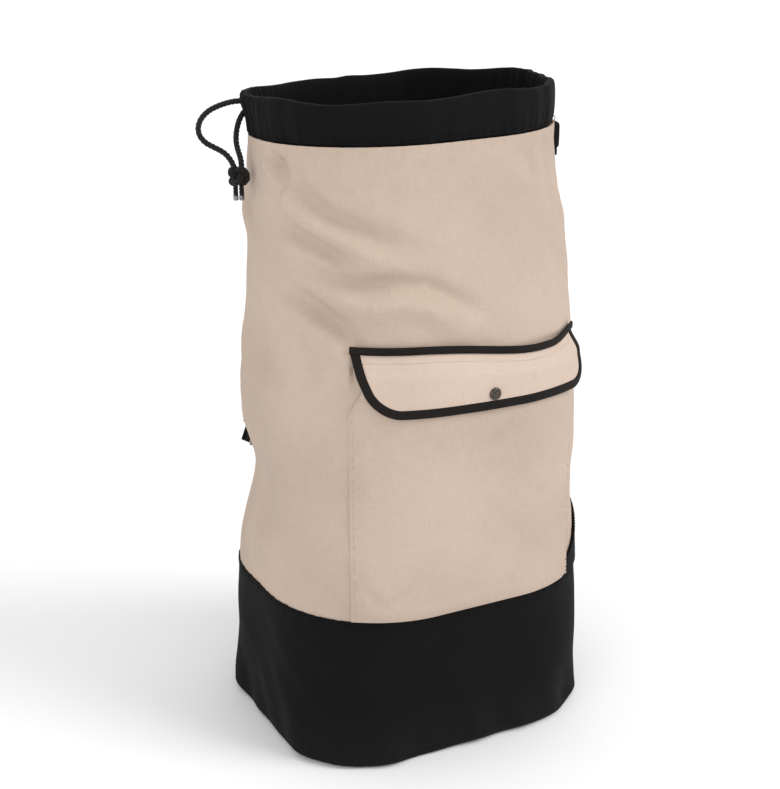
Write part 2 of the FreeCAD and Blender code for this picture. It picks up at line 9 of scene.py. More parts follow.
import bpy
import numpy as np
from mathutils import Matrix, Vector


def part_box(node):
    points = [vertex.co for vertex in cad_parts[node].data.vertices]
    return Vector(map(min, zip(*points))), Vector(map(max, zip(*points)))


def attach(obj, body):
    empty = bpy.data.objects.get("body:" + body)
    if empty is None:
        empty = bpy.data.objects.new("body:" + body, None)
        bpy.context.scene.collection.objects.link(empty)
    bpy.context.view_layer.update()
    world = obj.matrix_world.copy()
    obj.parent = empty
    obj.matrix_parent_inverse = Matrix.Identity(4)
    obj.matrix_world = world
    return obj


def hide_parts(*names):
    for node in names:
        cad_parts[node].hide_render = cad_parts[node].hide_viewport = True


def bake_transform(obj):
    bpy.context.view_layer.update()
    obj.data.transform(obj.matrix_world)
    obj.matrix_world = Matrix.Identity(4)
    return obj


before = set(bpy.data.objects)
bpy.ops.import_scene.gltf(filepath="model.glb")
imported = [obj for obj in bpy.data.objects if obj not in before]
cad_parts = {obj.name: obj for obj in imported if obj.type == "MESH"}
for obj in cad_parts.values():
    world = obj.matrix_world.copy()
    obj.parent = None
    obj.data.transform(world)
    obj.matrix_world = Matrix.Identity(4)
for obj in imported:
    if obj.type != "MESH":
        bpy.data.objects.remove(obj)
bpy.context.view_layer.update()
bpy.context.scene.view_settings.view_transform = "Standard"

# %% [markdown]
# The bag's wall is one smooth upright shape, so its outline is described once and every
# cloth piece is laid on it. The outline is a rounded rectangle that changes with height.
# Its half widths come from the frame's boxes, but for the waist, which no box gives. The
# corner radii are how round a filled canvas tube stands: squarer at the sewn bottom, almost
# oval at the mouth.

# %% The wall's outline, level by level
band_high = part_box("base_band")[1]
panel_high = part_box("base_panel")[1]
casing_low, casing_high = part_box("mouth_casing")
CLOTH = 0.0025
SEAM_LEVEL, NECK_LEVEL, RIM_LEVEL = band_high.z, casing_low.z, casing_high.z
WAIST_LEVEL, WAIST_HALF_WIDTH = 0.42, 0.173
LEVELS = np.array([0.0, SEAM_LEVEL, WAIST_LEVEL, NECK_LEVEL, RIM_LEVEL])
HALF_WIDTHS = np.array([panel_high.x + CLOTH, band_high.x, WAIST_HALF_WIDTH,
                        casing_high.x, casing_high.x])
HALF_DEPTHS = np.array([panel_high.y + CLOTH, band_high.y, band_high.y,
                        casing_high.y, casing_high.y])
CORNERS = np.array([0.094, 0.135, 0.140, 0.134, 0.134])


def softened(level, values, spread=0.05):
    """Value at a level, with the bends between straight stretches eased out."""
    steps = np.linspace(-spread, spread, 9)
    return np.mean([np.interp(level + step, LEVELS, values) for step in steps], axis=0)


def outline(level):
    return [softened(level, values) for values in (HALF_WIDTHS, HALF_DEPTHS, CORNERS)]


def half_round(level):
    """Distance along the wall from the front's middle to the back's middle."""
    half_width, half_depth, corner = outline(level)
    return 2 * (half_width + half_depth - 2 * corner) + math.pi * corner


def wall(around, level, proud=0.0):
    """Points on the wall. around runs from 0 at the front's middle to 1 or -1 at the back's
    middle, positive towards +X; proud is a distance outwards. Also gives the way outwards."""
    around, level, proud = np.broadcast_arrays(*[np.asarray(v, float)
                                                 for v in (around, level, proud)])
    around = (around + 1) % 2 - 1
    half_width, half_depth, corner = outline(level)
    flat_x, flat_y, arc = half_width - corner, half_depth - corner, corner * math.pi / 2
    along = np.abs(around) * half_round(level)
    turn = np.clip((along - flat_x) / corner, 0, math.pi / 2)
    turn = turn + np.clip((along - flat_x - arc - 2 * flat_y) / corner, 0, math.pi / 2)
    on_flats = np.clip(along, 0, flat_x) - np.clip(along - flat_x - 2 * arc - 2 * flat_y, 0, None)
    x = on_flats + corner * np.sin(turn)
    y = -flat_y + np.clip(along - flat_x - arc, 0, 2 * flat_y) - corner * np.cos(turn)
    side = np.where(around < 0, -1.0, 1.0)
    outward = np.stack([side * np.sin(turn), -np.cos(turn), 0 * turn], axis=-1)
    place = np.stack([side * x, y, level], axis=-1)
    return place + outward * proud[..., None], outward


print("half way round at the seam:", round(float(half_round(SEAM_LEVEL)), 3), "m")

# %% [markdown]
# Cloth is never smooth. Three kinds of unevenness are used: folds, each a line on the wall
# with a width and a depth, where the canvas hangs slack from the casing; a slow swell,
# because a filled bag bulges a little everywhere; and fine puckers along every seam.
# The swell is a sum of sines, so it is the same on every run. A cloth simulation would need the
# laundry that holds the bag open, so the folds are listed one by one instead.

# %% Fold lines
# Each fold: its line as (metres round from the front's middle, level), width and depth.
FOLDS = [
    ([(-0.232, 0.646), (-0.206, 0.632), (-0.198, 0.614), (-0.208, 0.592)], 0.0070, -0.0115),
    ([(-0.196, 0.632), (-0.172, 0.604), (-0.152, 0.588), (-0.118, 0.572), (-0.074, 0.552)],
     0.011, -0.0115),
    ([(-0.212, 0.576), (-0.164, 0.560), (-0.142, 0.547), (-0.131, 0.528)], 0.010, -0.0115),
    ([(-0.190, 0.542), (-0.146, 0.522), (-0.118, 0.516), (-0.090, 0.519), (-0.056, 0.514),
      (-0.006, 0.488)], 0.010, -0.0115),
    ([(-0.215, 0.512), (-0.170, 0.492), (-0.146, 0.475), (-0.126, 0.452)], 0.012, -0.0130),
    ([(0.058, 0.640), (0.074, 0.612), (0.068, 0.578), (0.060, 0.536)], 0.011, -0.0070),
    ([(0.096, 0.640), (0.110, 0.600), (0.102, 0.540), (0.108, 0.468)], 0.014, -0.0075),
    ([(-0.150, 0.470), (-0.184, 0.430), (-0.196, 0.372)], 0.016, -0.0060),
    ([(-0.330, 0.470), (-0.270, 0.425), (-0.214, 0.405)], 0.018, -0.0070),
    ([(-0.330, 0.300), (-0.280, 0.256), (-0.215, 0.240)], 0.020, -0.0060),
    ([(0.222, 0.640), (0.256, 0.560), (0.312, 0.500)], 0.016, -0.0090),
    ([(0.292, 0.640), (0.346, 0.590), (0.424, 0.552)], 0.014, -0.0090),
    ([(0.200, 0.420), (0.280, 0.372), (0.360, 0.352)], 0.020, -0.0080),
    ([(0.230, 0.300), (0.320, 0.262), (0.410, 0.255)], 0.018, -0.0065),
    ([(0.500, 0.640), (0.480, 0.580), (0.430, 0.520), (0.412, 0.462)], 0.016, -0.0090),
    ([(-0.490, 0.632), (-0.440, 0.572), (-0.370, 0.540)], 0.015, -0.0095),
    ([(-0.400, 0.470), (-0.450, 0.410), (-0.520, 0.380)], 0.018, -0.0080),
    ([(-0.330, 0.640), (-0.312, 0.590), (-0.280, 0.560)], 0.011, -0.0080),
    ([(0.420, 0.440), (0.470, 0.380), (0.540, 0.330)], 0.016, -0.0080),
]
# Where the left side sags in, between the full foot and the full upper half.
TUCK_ACROSS, TUCK_LEVEL, TUCK_DEPTH = -0.335, 0.272, -0.0170
TUCK_WIDTH, TUCK_HEIGHT = 0.090, 0.045
print(len(FOLDS), "folds drawn on the wall")

# %% [markdown]
# Two small rules shape every unevenness: a smooth step, which fades something in between
# two values, and a hump, which fades it out with distance. A fold also has to know how far
# each point of the cloth is from a line of several runs.

# %% Fading rules
def smooth_step(value, low, high):
    share = np.clip((value - low) / (high - low), 0, 1)
    return share * share * (3 - 2 * share)


def hump(distance, reach):
    """1 at no distance, dying away softly over a reach."""
    return np.exp(-(distance / reach) ** 2)


def near_line(across, level, line):
    """Distance from each point to a line of several runs, and how far along it that is."""
    best = np.full(np.shape(across), 1e9)
    share = np.zeros(np.shape(across))
    for number, (start, end) in enumerate(zip(line, line[1:])):
        run = np.subtract(end, start)
        along = ((across - start[0]) * run[0] + (level - start[1]) * run[1]) / (run @ run)
        along = np.clip(along, 0, 1)
        gap = np.hypot(across - start[0] - along * run[0], level - start[1] - along * run[1])
        closer = gap < best
        best = np.where(closer, gap, best)
        share = np.where(closer, (number + along) / (len(line) - 1), share)
    return best, share


print("halfway up a smooth step:", float(smooth_step(0.5, 0.0, 1.0)))

# %% [markdown]
# A fold in canvas is a groove with a soft ridge below it, where the slack cloth rolls over.
# The swell sums a few sines of different lengths, so that no two bulges are alike, and
# puckers are a fine ripple that dies away from its seam.

# %% Folds, swell and puckers
def folds(across, level):
    """Grooves with a soft ridge below each, deepest in the middle of their length."""
    total = (TUCK_DEPTH * hump(across - TUCK_ACROSS, TUCK_WIDTH)
             * hump(level - TUCK_LEVEL, TUCK_HEIGHT))
    for line, width, depth in FOLDS:
        gap, share = near_line(across, level, line)
        fade = np.clip(np.sin(math.pi * np.clip(share, 0.02, 0.98)), 0, 1) ** 0.6
        lower = [(x - 0.3 * width, z - 1.7 * width) for x, z in line]
        ridge_gap = near_line(across, level, lower)[0]
        total = total + depth * fade * hump(gap, width)
        total = total - 0.75 * depth * fade * hump(ridge_gap, 1.5 * width)
    return total


def swell(across, level, height):
    """Slow bulges, and crisper slanting rumples between them."""
    slow = (np.sin(across * 21 + 1.1 + 3.0 * np.sin(level * 9)) * np.sin(level * 14 + 0.6)
            + 0.6 * np.sin(across * 37 - level * 31 + 0.4)
            + 0.4 * np.sin(across * 16 + level * 52 + 2.0 * np.sin(across * 11)))
    crisp = np.sin(across * 64 + level * 83 + 2.6 * np.sin(across * 23 + level * 17))
    patches = 0.5 + 0.5 * np.sin(across * 18 - 1.3) * np.sin(level * 22 + across * 9)
    return height * (0.55 * slow + 0.35 * patches * crisp ** 3)


def puckers(along, distance, reach, height):
    """Small gathers that die away from a seam."""
    rows = np.sin(along * 520) + 0.7 * np.sin(along * 811 + 1.7) + 0.6 * np.sin(along * 233)
    return height * rows * hump(distance, reach)


print("at the deepest fold:", round(float(folds(-0.142, 0.547)) * 1000, 1), "mm")

# %% [markdown]
# The pattern has to meet itself behind the bag, so near the back's middle it fades over to
# its own other end, and the seams' puckers fade out. Last, the whole top leans a little to
# one side, as a soft tube does.

# %% Joining at the back, and the lean
def off_the_back(around):
    """1 all round the bag, and 0 at the back's middle, where two ends of cloth meet."""
    return 1 - smooth_step(np.abs(around), 0.96, 1.0)


def all_round(relief, around, level):
    """Relief that joins up with itself at the back's middle, where two halves of it fade."""
    half = half_round(level)
    share = 0.5 * smooth_step(np.abs(around), 0.8, 1.0)
    other_way = around * half - np.sign(around) * 2 * half
    return (1 - share) * relief(around * half, level) + share * relief(other_way, level)


def lean(points):
    """The mouth stands a little higher on the +X side, and the whole top leans towards -X."""
    points = np.array(points, float)
    upper = smooth_step(points[..., 2], 0.457, 0.62)
    points[..., 2] += (0.036 * points[..., 0] - 0.001) * upper
    slack_side = smooth_step(points[..., 0], 0.04, 0.15)
    points[..., 0] -= (0.0040 + 0.0060 * slack_side) * upper
    return points


print("the mouth's middle leans to", lean([0, 0, RIM_LEVEL]).round(4))

# %% [markdown]
# Cloth pieces start as a flat grid, as cloth starts as a flat cut. The grid is laid on the
# wall by a rule for each piece, keeps a UV map measured in metres so that its weave runs
# along the threads. A helper does this, because every cloth piece needs it, and another
# closes the open ends of a piece that was laid round into a tube.

# %% Helpers that lay and close a grid
def select_only(obj):
    bpy.ops.object.select_all(action="DESELECT")
    bpy.context.view_layer.objects.active = obj
    obj.select_set(True)


def lay_grid(name, columns, rows, place, cut, joined=False):
    """Grid of the given number of faces; place(u, v) gives its points, cut its flat size."""
    bpy.ops.object.select_all(action="DESELECT")
    bpy.ops.mesh.primitive_grid_add(x_subdivisions=columns, y_subdivisions=rows, size=2)
    piece = bpy.context.object
    piece.name = piece.data.name = name
    flat = np.empty(len(piece.data.vertices) * 3)
    piece.data.vertices.foreach_get("co", flat)
    share = flat.reshape(-1, 3) / 2 + 0.5
    points = np.asarray(place(share[:, 0], share[:, 1]), float)
    piece.data.vertices.foreach_set("co", points.ravel())
    uv_map = piece.data.uv_layers.active
    uv_map.name = "Cloth"
    uv = np.empty(len(piece.data.loops) * 2)
    uv_map.data.foreach_get("uv", uv)
    uv_map.data.foreach_set("uv", (uv.reshape(-1, 2) * np.array(cut)).ravel())
    piece.data.update()
    if joined:
        select_only(piece)
        bpy.ops.object.mode_set(mode="EDIT")
        bpy.ops.mesh.select_all(action="SELECT")
        bpy.ops.mesh.remove_doubles(threshold=0.00002)
        bpy.ops.object.mode_set(mode="OBJECT")
    return piece


def close_ends(piece, longest_edge):
    """Fills the open ends of a tube and turns every face outwards."""
    select_only(piece)
    bpy.ops.object.mode_set(mode="EDIT")
    bpy.ops.mesh.select_all(action="SELECT")
    bpy.ops.mesh.fill_holes(sides=longest_edge)
    bpy.ops.mesh.normals_make_consistent(inside=False)
    bpy.ops.object.mode_set(mode="OBJECT")


# %% [markdown]
# Every piece is finished in the same way: a Solidify modifier gives cloth its thickness, its
# curved faces are shaded smooth, and it gets its material and the body that it moves with. The
# flap stays sewn to the bag at its top; it and the pieces on it are given no body, and only have
# their place baked into their points.

# %% A helper that finishes a piece
flap_low, flap_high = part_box("flap_binding")
FLAP_TOP, FLAP_FOOT = flap_high.z, flap_low.z


def finish_piece(piece, body, material, thickness=0.0, inward=-1.0, stands_for=()):
    """Thickness, smooth shading, finish, body and the CAD nodes that a piece stands for."""
    select_only(piece)
    if thickness:
        solid = piece.modifiers.new("Thickness", "SOLIDIFY")
        solid.thickness = thickness
        solid.offset = inward
        bpy.ops.object.modifier_apply(modifier=solid.name)
    bpy.ops.object.shade_smooth_by_angle(angle=math.radians(50))
    piece.data.materials.clear()
    piece.data.materials.append(material)
    if body == "flap hinge":
        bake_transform(piece)
    else:
        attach(piece, body)
    if stands_for:
        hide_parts(*stands_for)
    print(f"{piece.name}: {len(piece.data.polygons)} faces on {body}")
    return piece


# %% [markdown]
# A finish is a tree of shader nodes. Building one in code is a list of nodes and links, so
# each kind of node gets a small helper, and each finish then reads as a recipe.

# %% Helpers for finishes
def new_finish(name):
    material = bpy.data.materials.new(name)
    material.use_nodes = True
    nodes, links = material.node_tree.nodes, material.node_tree.links
    return material, nodes, links, nodes["Principled BSDF"]


def add_noise(nodes, links, coordinates, scale, detail=3.0, stretch=None):
    noise = nodes.new("ShaderNodeTexNoise")
    noise.inputs["Scale"].default_value = scale
    noise.inputs["Detail"].default_value = detail
    if stretch:
        mapping = nodes.new("ShaderNodeMapping")
        mapping.inputs["Scale"].default_value = stretch
        links.new(coordinates, mapping.inputs["Vector"])
        coordinates = mapping.outputs["Vector"]
    links.new(coordinates, noise.inputs["Vector"])
    return noise.outputs["Fac"]


def add_ramp(nodes, links, value, low, high, low_at=0.0, high_at=1.0):
    ramp = nodes.new("ShaderNodeValToRGB")
    ramp.color_ramp.elements[0].position = low_at
    ramp.color_ramp.elements[0].color = (*low, 1)
    ramp.color_ramp.elements[1].position = high_at
    ramp.color_ramp.elements[1].color = (*high, 1)
    links.new(value, ramp.inputs["Fac"])
    return ramp.outputs["Color"]


def add_math(nodes, links, operation, first, second):
    sums = nodes.new("ShaderNodeMath")
    sums.operation = operation
    for number, value in enumerate((first, second)):
        if isinstance(value, (int, float)):
            sums.inputs[number].default_value = value
        else:
            links.new(value, sums.inputs[number])
    return sums.outputs["Value"]


def add_wave(nodes, links, coordinates, direction, pitch, wobble=0.0):
    """Bands across a direction, one every pitch metres."""
    wave = nodes.new("ShaderNodeTexWave")
    wave.bands_direction = direction
    wave.inputs["Scale"].default_value = math.pi / (10 * pitch)
    wave.inputs["Distortion"].default_value = wobble
    wave.inputs["Detail"].default_value = 1.0
    links.new(coordinates, wave.inputs["Vector"])
    return wave.outputs["Fac"]


def add_mix(nodes, links, factor, first, second, blend="MIX"):
    mix = nodes.new("ShaderNodeMix")
    mix.data_type = "RGBA"
    mix.blend_type = blend
    for socket, value in ((mix.inputs["Factor"], factor), (mix.inputs["A"], first),
                          (mix.inputs["B"], second)):
        if isinstance(value, (int, float)):
            socket.default_value = value
        elif isinstance(value, tuple):
            socket.default_value = (*value, 1)
        else:
            links.new(value, socket)
    return mix.outputs["Result"]


def add_bump(nodes, links, height, distance, strength, shader, below=None):
    bump = nodes.new("ShaderNodeBump")
    bump.inputs["Distance"].default_value = distance
    bump.inputs["Strength"].default_value = strength
    links.new(height, bump.inputs["Height"])
    if below:
        links.new(below, bump.inputs["Normal"])
    links.new(bump.outputs["Normal"], shader.inputs["Normal"])
    return bump.outputs["Normal"]


print("wave scale for 1 mm threads:", round(math.pi / (10 * 0.001)))

# %% [markdown]
# Canvas is a plain weave: two sets of threads, over and under. Two wave textures crossed on the
# cloth's own UV map give the threads their height, and the same height paints shade into the
# colour where the threads dip between their crossings. Slow noise on Object coordinates gives the
# uneven dyeing that real cotton has. The black cloth is the same canvas with less light in it and
# some lint and rubbed dust low down.

# %% Canvas
def canvas(name, light, deep, pitch, sheen, dust=None):
    """Plain-weave cloth, coloured between two tints, with dust towards the floor."""
    material, nodes, links, shader = new_finish(name)
    where = nodes.new("ShaderNodeTexCoord")
    uv, place = where.outputs["UV"], where.outputs["Object"]
    warp = add_wave(nodes, links, uv, "X", pitch, 0.6)
    weft = add_wave(nodes, links, uv, "Y", pitch, 0.6)
    threads = add_math(nodes, links, "MULTIPLY", warp, weft)
    slubs_up = add_noise(nodes, links, uv, 60.0, 2.0, (22.0, 1.0, 1.0))
    slubs_across = add_noise(nodes, links, uv, 60.0, 2.0, (1.0, 22.0, 1.0))
    slubs = add_math(nodes, links, "MULTIPLY", slubs_up, slubs_across)
    tint = add_noise(nodes, links, place, 7.0, 4.0)
    colour = add_ramp(nodes, links, tint, deep, light, 0.34, 0.62)
    # painted shade: the colour is darkened where the threads dip between their crossings
    thread_gap_shade = add_ramp(nodes, links, threads, (0.80, 0.79, 0.78), (1.0, 1.0, 1.0), 0.0, 0.35)
    colour = add_mix(nodes, links, 0.85, colour, thread_gap_shade, "MULTIPLY")
    streaks = add_ramp(nodes, links, slubs, (0.90, 0.90, 0.90), (1.06, 1.05, 1.04), 0.12, 0.42)
    colour = add_mix(nodes, links, 0.8, colour, streaks, "MULTIPLY")
    if dust:
        upright = nodes.new("ShaderNodeSeparateXYZ")
        links.new(place, upright.inputs["Vector"])
        low_down = nodes.new("ShaderNodeMapRange")
        low_down.inputs["From Min"].default_value = 0.07
        low_down.inputs["From Max"].default_value = 0.0
        links.new(upright.outputs["Z"], low_down.inputs["Value"])
        specks = add_noise(nodes, links, place, 160.0, 6.0)
        rubbed = add_math(nodes, links, "MULTIPLY", low_down.outputs["Result"], specks)
        colour = add_mix(nodes, links, add_math(nodes, links, "MULTIPLY", rubbed, 0.30),
                         colour, dust)
    links.new(colour, shader.inputs["Base Color"])
    rough = nodes.new("ShaderNodeMapRange")
    rough.inputs["To Min"].default_value = 0.74
    rough.inputs["To Max"].default_value = 0.92
    links.new(tint, rough.inputs["Value"])
    links.new(rough.outputs["Result"], shader.inputs["Roughness"])
    shader.inputs["Specular IOR Level"].default_value = 0.12
    shader.inputs["Sheen Weight"].default_value = sheen
    shader.inputs["Sheen Roughness"].default_value = 0.6
    soft = add_bump(nodes, links, add_noise(nodes, links, place, 85.0, 4.0), 0.0006, 0.35, shader)
    add_bump(nodes, links, threads, 0.00022, 0.55, shader, soft)
    return material


# %% [markdown]
# Tape, webbing, thread and cord are woven narrow: ribs run across them and threads along.
# The same two waves make them, with the ribs wider than the threads.

# %% Ribbed goods
def ribbed(name, light, deep, pitch, rib, sheen=0.1):
    """Narrow woven goods: tape and webbing, with ribs across and threads along."""
    material, nodes, links, shader = new_finish(name)
    where = nodes.new("ShaderNodeTexCoord")
    uv, place = where.outputs["UV"], where.outputs["Object"]
    ribs = add_wave(nodes, links, uv, "X", rib, 0.3)
    threads = add_wave(nodes, links, uv, "Y", pitch, 0.3)
    height = add_math(nodes, links, "ADD", ribs, add_math(nodes, links, "MULTIPLY", threads, 0.6))
    colour = add_ramp(nodes, links, add_noise(nodes, links, place, 26.0, 4.0), deep, light,
                      0.35, 0.65)
    shade = add_ramp(nodes, links, height, (0.62, 0.62, 0.62), (1.0, 1.0, 1.0), 0.1, 1.1)
    links.new(add_mix(nodes, links, 0.8, colour, shade, "MULTIPLY"), shader.inputs["Base Color"])
    shader.inputs["Roughness"].default_value = 0.72
    shader.inputs["Specular IOR Level"].default_value = 0.18
    shader.inputs["Sheen Weight"].default_value = sheen
    add_bump(nodes, links, height, 0.0003, 0.6, shader)
    return material


# %% [markdown]
# The snap and the slider are pressed metal with a thin dark plating. It is a little mottled
# where hands have touched it, so one noise drives both its colour and its roughness, and a
# stretched noise gives fine scratches.

# %% Plated metal
def metal(name, light, deep, roughness):
    """Plated pressed metal, a little mottled and scratched."""
    material, nodes, links, shader = new_finish(name)
    place = nodes.new("ShaderNodeTexCoord").outputs["Object"]
    worn = add_noise(nodes, links, place, 420.0, 5.0)
    links.new(add_ramp(nodes, links, worn, deep, light, 0.3, 0.7), shader.inputs["Base Color"])
    shader.inputs["Metallic"].default_value = 1.0
    rough = nodes.new("ShaderNodeMapRange")
    rough.inputs["To Min"].default_value = roughness - 0.08
    rough.inputs["To Max"].default_value = roughness + 0.12
    links.new(worn, rough.inputs["Value"])
    links.new(rough.outputs["Result"], shader.inputs["Roughness"])
    scratches = add_noise(nodes, links, place, 900.0, 2.0, (1.0, 1.0, 12.0))
    add_bump(nodes, links, scratches, 0.00005, 0.25, shader)
    return material


# %% [markdown]
# The finishes themselves. Linear colour values: cream cotton, a lighter copy of it whose painted
# light makes the flap look more brightly lit, three near-blacks that differ as canvas, tape and
# webbing do, the darker thread and cord, and two platings.

# %% Finishes
CREAM = canvas("cream canvas", (0.538, 0.430, 0.354), (0.480, 0.380, 0.309), 0.0009, 0.03)
# painted light: the flap's canvas is the cream canvas made lighter, so that the flap looks more
# lit than the body
LIT_FLAP_CREAM = canvas("flap canvas painted lighter", (0.616, 0.493, 0.414), (0.568, 0.451, 0.374), 0.0009, 0.03)
BLACK = canvas("black canvas", (0.0042, 0.0038, 0.0041), (0.0027, 0.0024, 0.0027), 0.0009, 0.0,
               dust=(0.026, 0.024, 0.023))
TAPE = ribbed("black binding tape", (0.0085, 0.0056, 0.0045), (0.0050, 0.0034, 0.0028),
              0.0007, 0.0011, 0.0)
WEBBING = ribbed("black webbing", (0.0100, 0.0096, 0.0096), (0.0060, 0.0058, 0.0058),
                 0.0012, 0.0022, 0.02)
CREAM_THREAD = ribbed("cream thread", (0.72, 0.60, 0.50), (0.64, 0.53, 0.44), 0.0003, 0.0006)
BLACK_THREAD = ribbed("black thread", (0.0090, 0.0082, 0.0082), (0.0060, 0.0055, 0.0055),
                      0.0003, 0.0006, 0.0)
CORD = ribbed("black cord", (0.0125, 0.0115, 0.0115), (0.0060, 0.0056, 0.0056),
              0.0006, 0.0009, 0.08)
CORD_TIP = metal("sealed cord tip", (0.30, 0.30, 0.31), (0.12, 0.12, 0.13), 0.34)
GUNMETAL = metal("gunmetal snap", (0.115, 0.098, 0.085), (0.045, 0.037, 0.031), 0.24)
NICKEL = metal("dark nickel", (0.36, 0.34, 0.32), (0.20, 0.19, 0.18), 0.32)
print("finishes:", len(bpy.data.materials))

# %% [markdown]
# Stitches are real thread: short rounded pieces lying on the cloth, one after another. One
# stitch is made from a small sphere, to be stretched and copied along a line of points.

# %% One stitch
def one_stitch():
    bpy.ops.object.select_all(action="DESELECT")
    bpy.ops.mesh.primitive_uv_sphere_add(segments=6, ring_count=5, radius=1.0)
    stitch = bpy.context.object
    corners = np.array([vertex.co for vertex in stitch.data.vertices])
    faces = [list(face.vertices) for face in stitch.data.polygons]
    bpy.data.objects.remove(stitch)
    return corners, faces


STITCH_CORNERS, STITCH_FACES = one_stitch()
STITCH_LENGTH, STITCH_PITCH = 0.0031, 0.0042
THREAD_RADIUS, THREAD_LIFT = 0.00042, 0.4       # the lift is in thread radii
print("one stitch:", len(STITCH_FACES), "faces")

# %% [markdown]
# Stitches, tapes and cords all follow lines of points. These helpers measure along such a
# line and space its points evenly.

# %% Helpers for lines of points
def distance_along(line):
    """How far along a line of points each of them is."""
    steps = np.linalg.norm(np.diff(line, axis=0), axis=1)
    return np.concatenate([[0], np.cumsum(steps)])


def unit(directions):
    return directions / np.linalg.norm(directions, axis=1, keepdims=True)


def resample(line, pitch):
    """Evenly spaced points along a line of points, and the way it runs at each."""
    line = np.asarray(line, float)
    reached = distance_along(line)
    count = max(int(reached[-1] / pitch), 1)
    stops = np.linspace(0, reached[-1], count + 1)
    points = np.stack([np.interp(stops, reached, line[:, axis]) for axis in range(3)], axis=1)
    return points, unit(np.gradient(points, axis=0))


print("stitches to 100 mm:", len(resample([(0, 0, 0), (0.1, 0, 0)], STITCH_PITCH)[0]) - 1)

# %% [markdown]
# A row of stitches is one mesh, so that hundreds of stitches stay one piece. Each one is
# turned to lie along its line, flat on the cloth.

# %% A helper that sews a row
def sew(name, line, outward, material, body):
    """A row of stitches along a line, lying a little proud of the cloth."""
    points, ahead = resample(line, STITCH_PITCH)
    line = np.asarray(line, float)
    outward = np.asarray(outward, float)
    nearest = [int(np.argmin(np.linalg.norm(line - point, axis=1))) for point in points]
    corners, faces = [], []
    for point, along, index in zip(points[:-1], ahead, nearest):
        up = outward[index] if outward.ndim == 2 else outward
        across = np.cross(up, along)
        size = np.stack([along * STITCH_LENGTH / 2, across * THREAD_RADIUS,
                         up * THREAD_RADIUS])
        start = len(corners) * len(STITCH_CORNERS)
        corners.append(point + up * THREAD_RADIUS * THREAD_LIFT + STITCH_CORNERS @ size)
        faces += [[start + corner for corner in face] for face in STITCH_FACES]
    mesh = bpy.data.meshes.new(name)
    mesh.from_pydata(np.concatenate(corners).tolist(), [], faces)
    row = bpy.data.objects.new(name, mesh)
    bpy.context.scene.collection.objects.link(row)
    mesh.uv_layers.new(name="Cloth")
    select_only(row)
    bpy.ops.object.mode_set(mode="EDIT")
    bpy.ops.mesh.select_all(action="SELECT")
    bpy.ops.mesh.normals_make_consistent(inside=False)
    bpy.ops.object.mode_set(mode="OBJECT")
    return finish_piece(row, body, material)


# %% [markdown]
# The cream body is two canvas halves that meet at the side seams. Each is laid on the wall
# with its folds and swell, and pulled in where it is sewn: to the casing at the top, to the
# band at the foot and to its other half at the sides.

# %% Cream body, front and back
POCKET_SHIFT = -0.0060                          # the pocket sits a little left of the middle
POCKET_COVER, POCKET_TOP = 0.130, 0.45          # where it and its flap lie on the body
BODY_CUT = (0.574, 0.478)
SIDE_SEAM_WIDTH, SIDE_SEAM_DEPTH = 0.004, 0.0005
BODY_INSET = 0.0008                  # the sewn cloth lies a little inside the plain wall


def body_relief(around, level):
    """How far the cream cloth stands in or out from the plain wall."""
    across = around * half_round(level)

    def rumples(along, height):
        return folds(along, height) + swell(along, height, 0.0030)

    side_gap = np.abs(np.abs(around) - 0.5) * half_round(level)
    held = smooth_step(level, SEAM_LEVEL, SEAM_LEVEL + 0.05)
    held = held * (1 - smooth_step(level, NECK_LEVEL - 0.02, NECK_LEVEL))
    behind_pocket = (np.abs(across - POCKET_SHIFT) < POCKET_COVER) & (level < POCKET_TOP)
    relief = np.where(behind_pocket, 0.0, all_round(rumples, around, level))
    relief = relief * np.clip(held, 0, 1) - SIDE_SEAM_DEPTH * hump(side_gap, SIDE_SEAM_WIDTH)
    even = off_the_back(around)
    relief = relief + even * puckers(across, NECK_LEVEL - level, 0.016, 0.0004)
    relief = relief + even * puckers(across, level - SEAM_LEVEL, 0.012, 0.0003)
    return relief - BODY_INSET


def body_half(first):
    """The rule for one half, which starts at a side seam."""
    def place(u, v):
        around = (first + u + 1) % 2 - 1
        level = SEAM_LEVEL - 0.002 + v * (NECK_LEVEL + 0.004 - SEAM_LEVEL)
        return lean(wall(around, level, body_relief(around, level))[0])
    return place


for name, first, columns in [("body_front", -0.5, 190), ("body_back", 0.5, 170)]:
    half = lay_grid(name, columns, 150, body_half(first), BODY_CUT)
    finish_piece(half, "bag", CREAM, CLOTH * 0.6,
                 stands_for=[f"{name}_panel"])

# %% [markdown]
# The foot band is black canvas with the bottom panel sewn into it. It carries the weight, so
# its lower edge is soft and lumpy: it rolls in under the bag, and slow bumps push it in and
# out. The roll is a quarter circle at the start of its profile.

# %% Foot band and bottom
ROLL, RUMPLE = 0.010, 0.0024
BOTTOM_LEVEL = 0.0024


def band_place(u, v):
    around = 2 * u - 1
    length = ROLL * math.pi / 2 + (SEAM_LEVEL - ROLL)
    along = v * length
    turn = np.clip(along / ROLL, 0, math.pi / 2)
    level = ROLL * (1 - np.cos(turn)) + np.clip(along - ROLL * math.pi / 2, 0, None)
    across = around * half_round(level)
    low = 1 - smooth_step(level, 0.0, 0.09)
    lumps = (np.sin(across * 31 + 0.7) + 0.8 * np.sin(across * 67 + 2.0)
             + 0.7 * np.sin(across * 118 + level * 40))
    even = off_the_back(around)

    def rumples(along, height):
        return swell(along + 0.3, height + 0.2, RUMPLE)

    below_seam = smooth_step(SEAM_LEVEL - level, 0.0, 0.035)
    relief = RUMPLE * lumps * low * even + below_seam * all_round(rumples, around, level)
    relief = relief * np.clip(level / 0.01, 0, 1)
    relief = relief + even * puckers(across, SEAM_LEVEL - level, 0.012, 0.0004)
    inset = -ROLL * (1 - np.sin(turn))
    points = wall(around, level, relief + inset + 0.0004)[0]
    points[:, 2] = np.maximum(points[:, 2], 0.0)
    return points


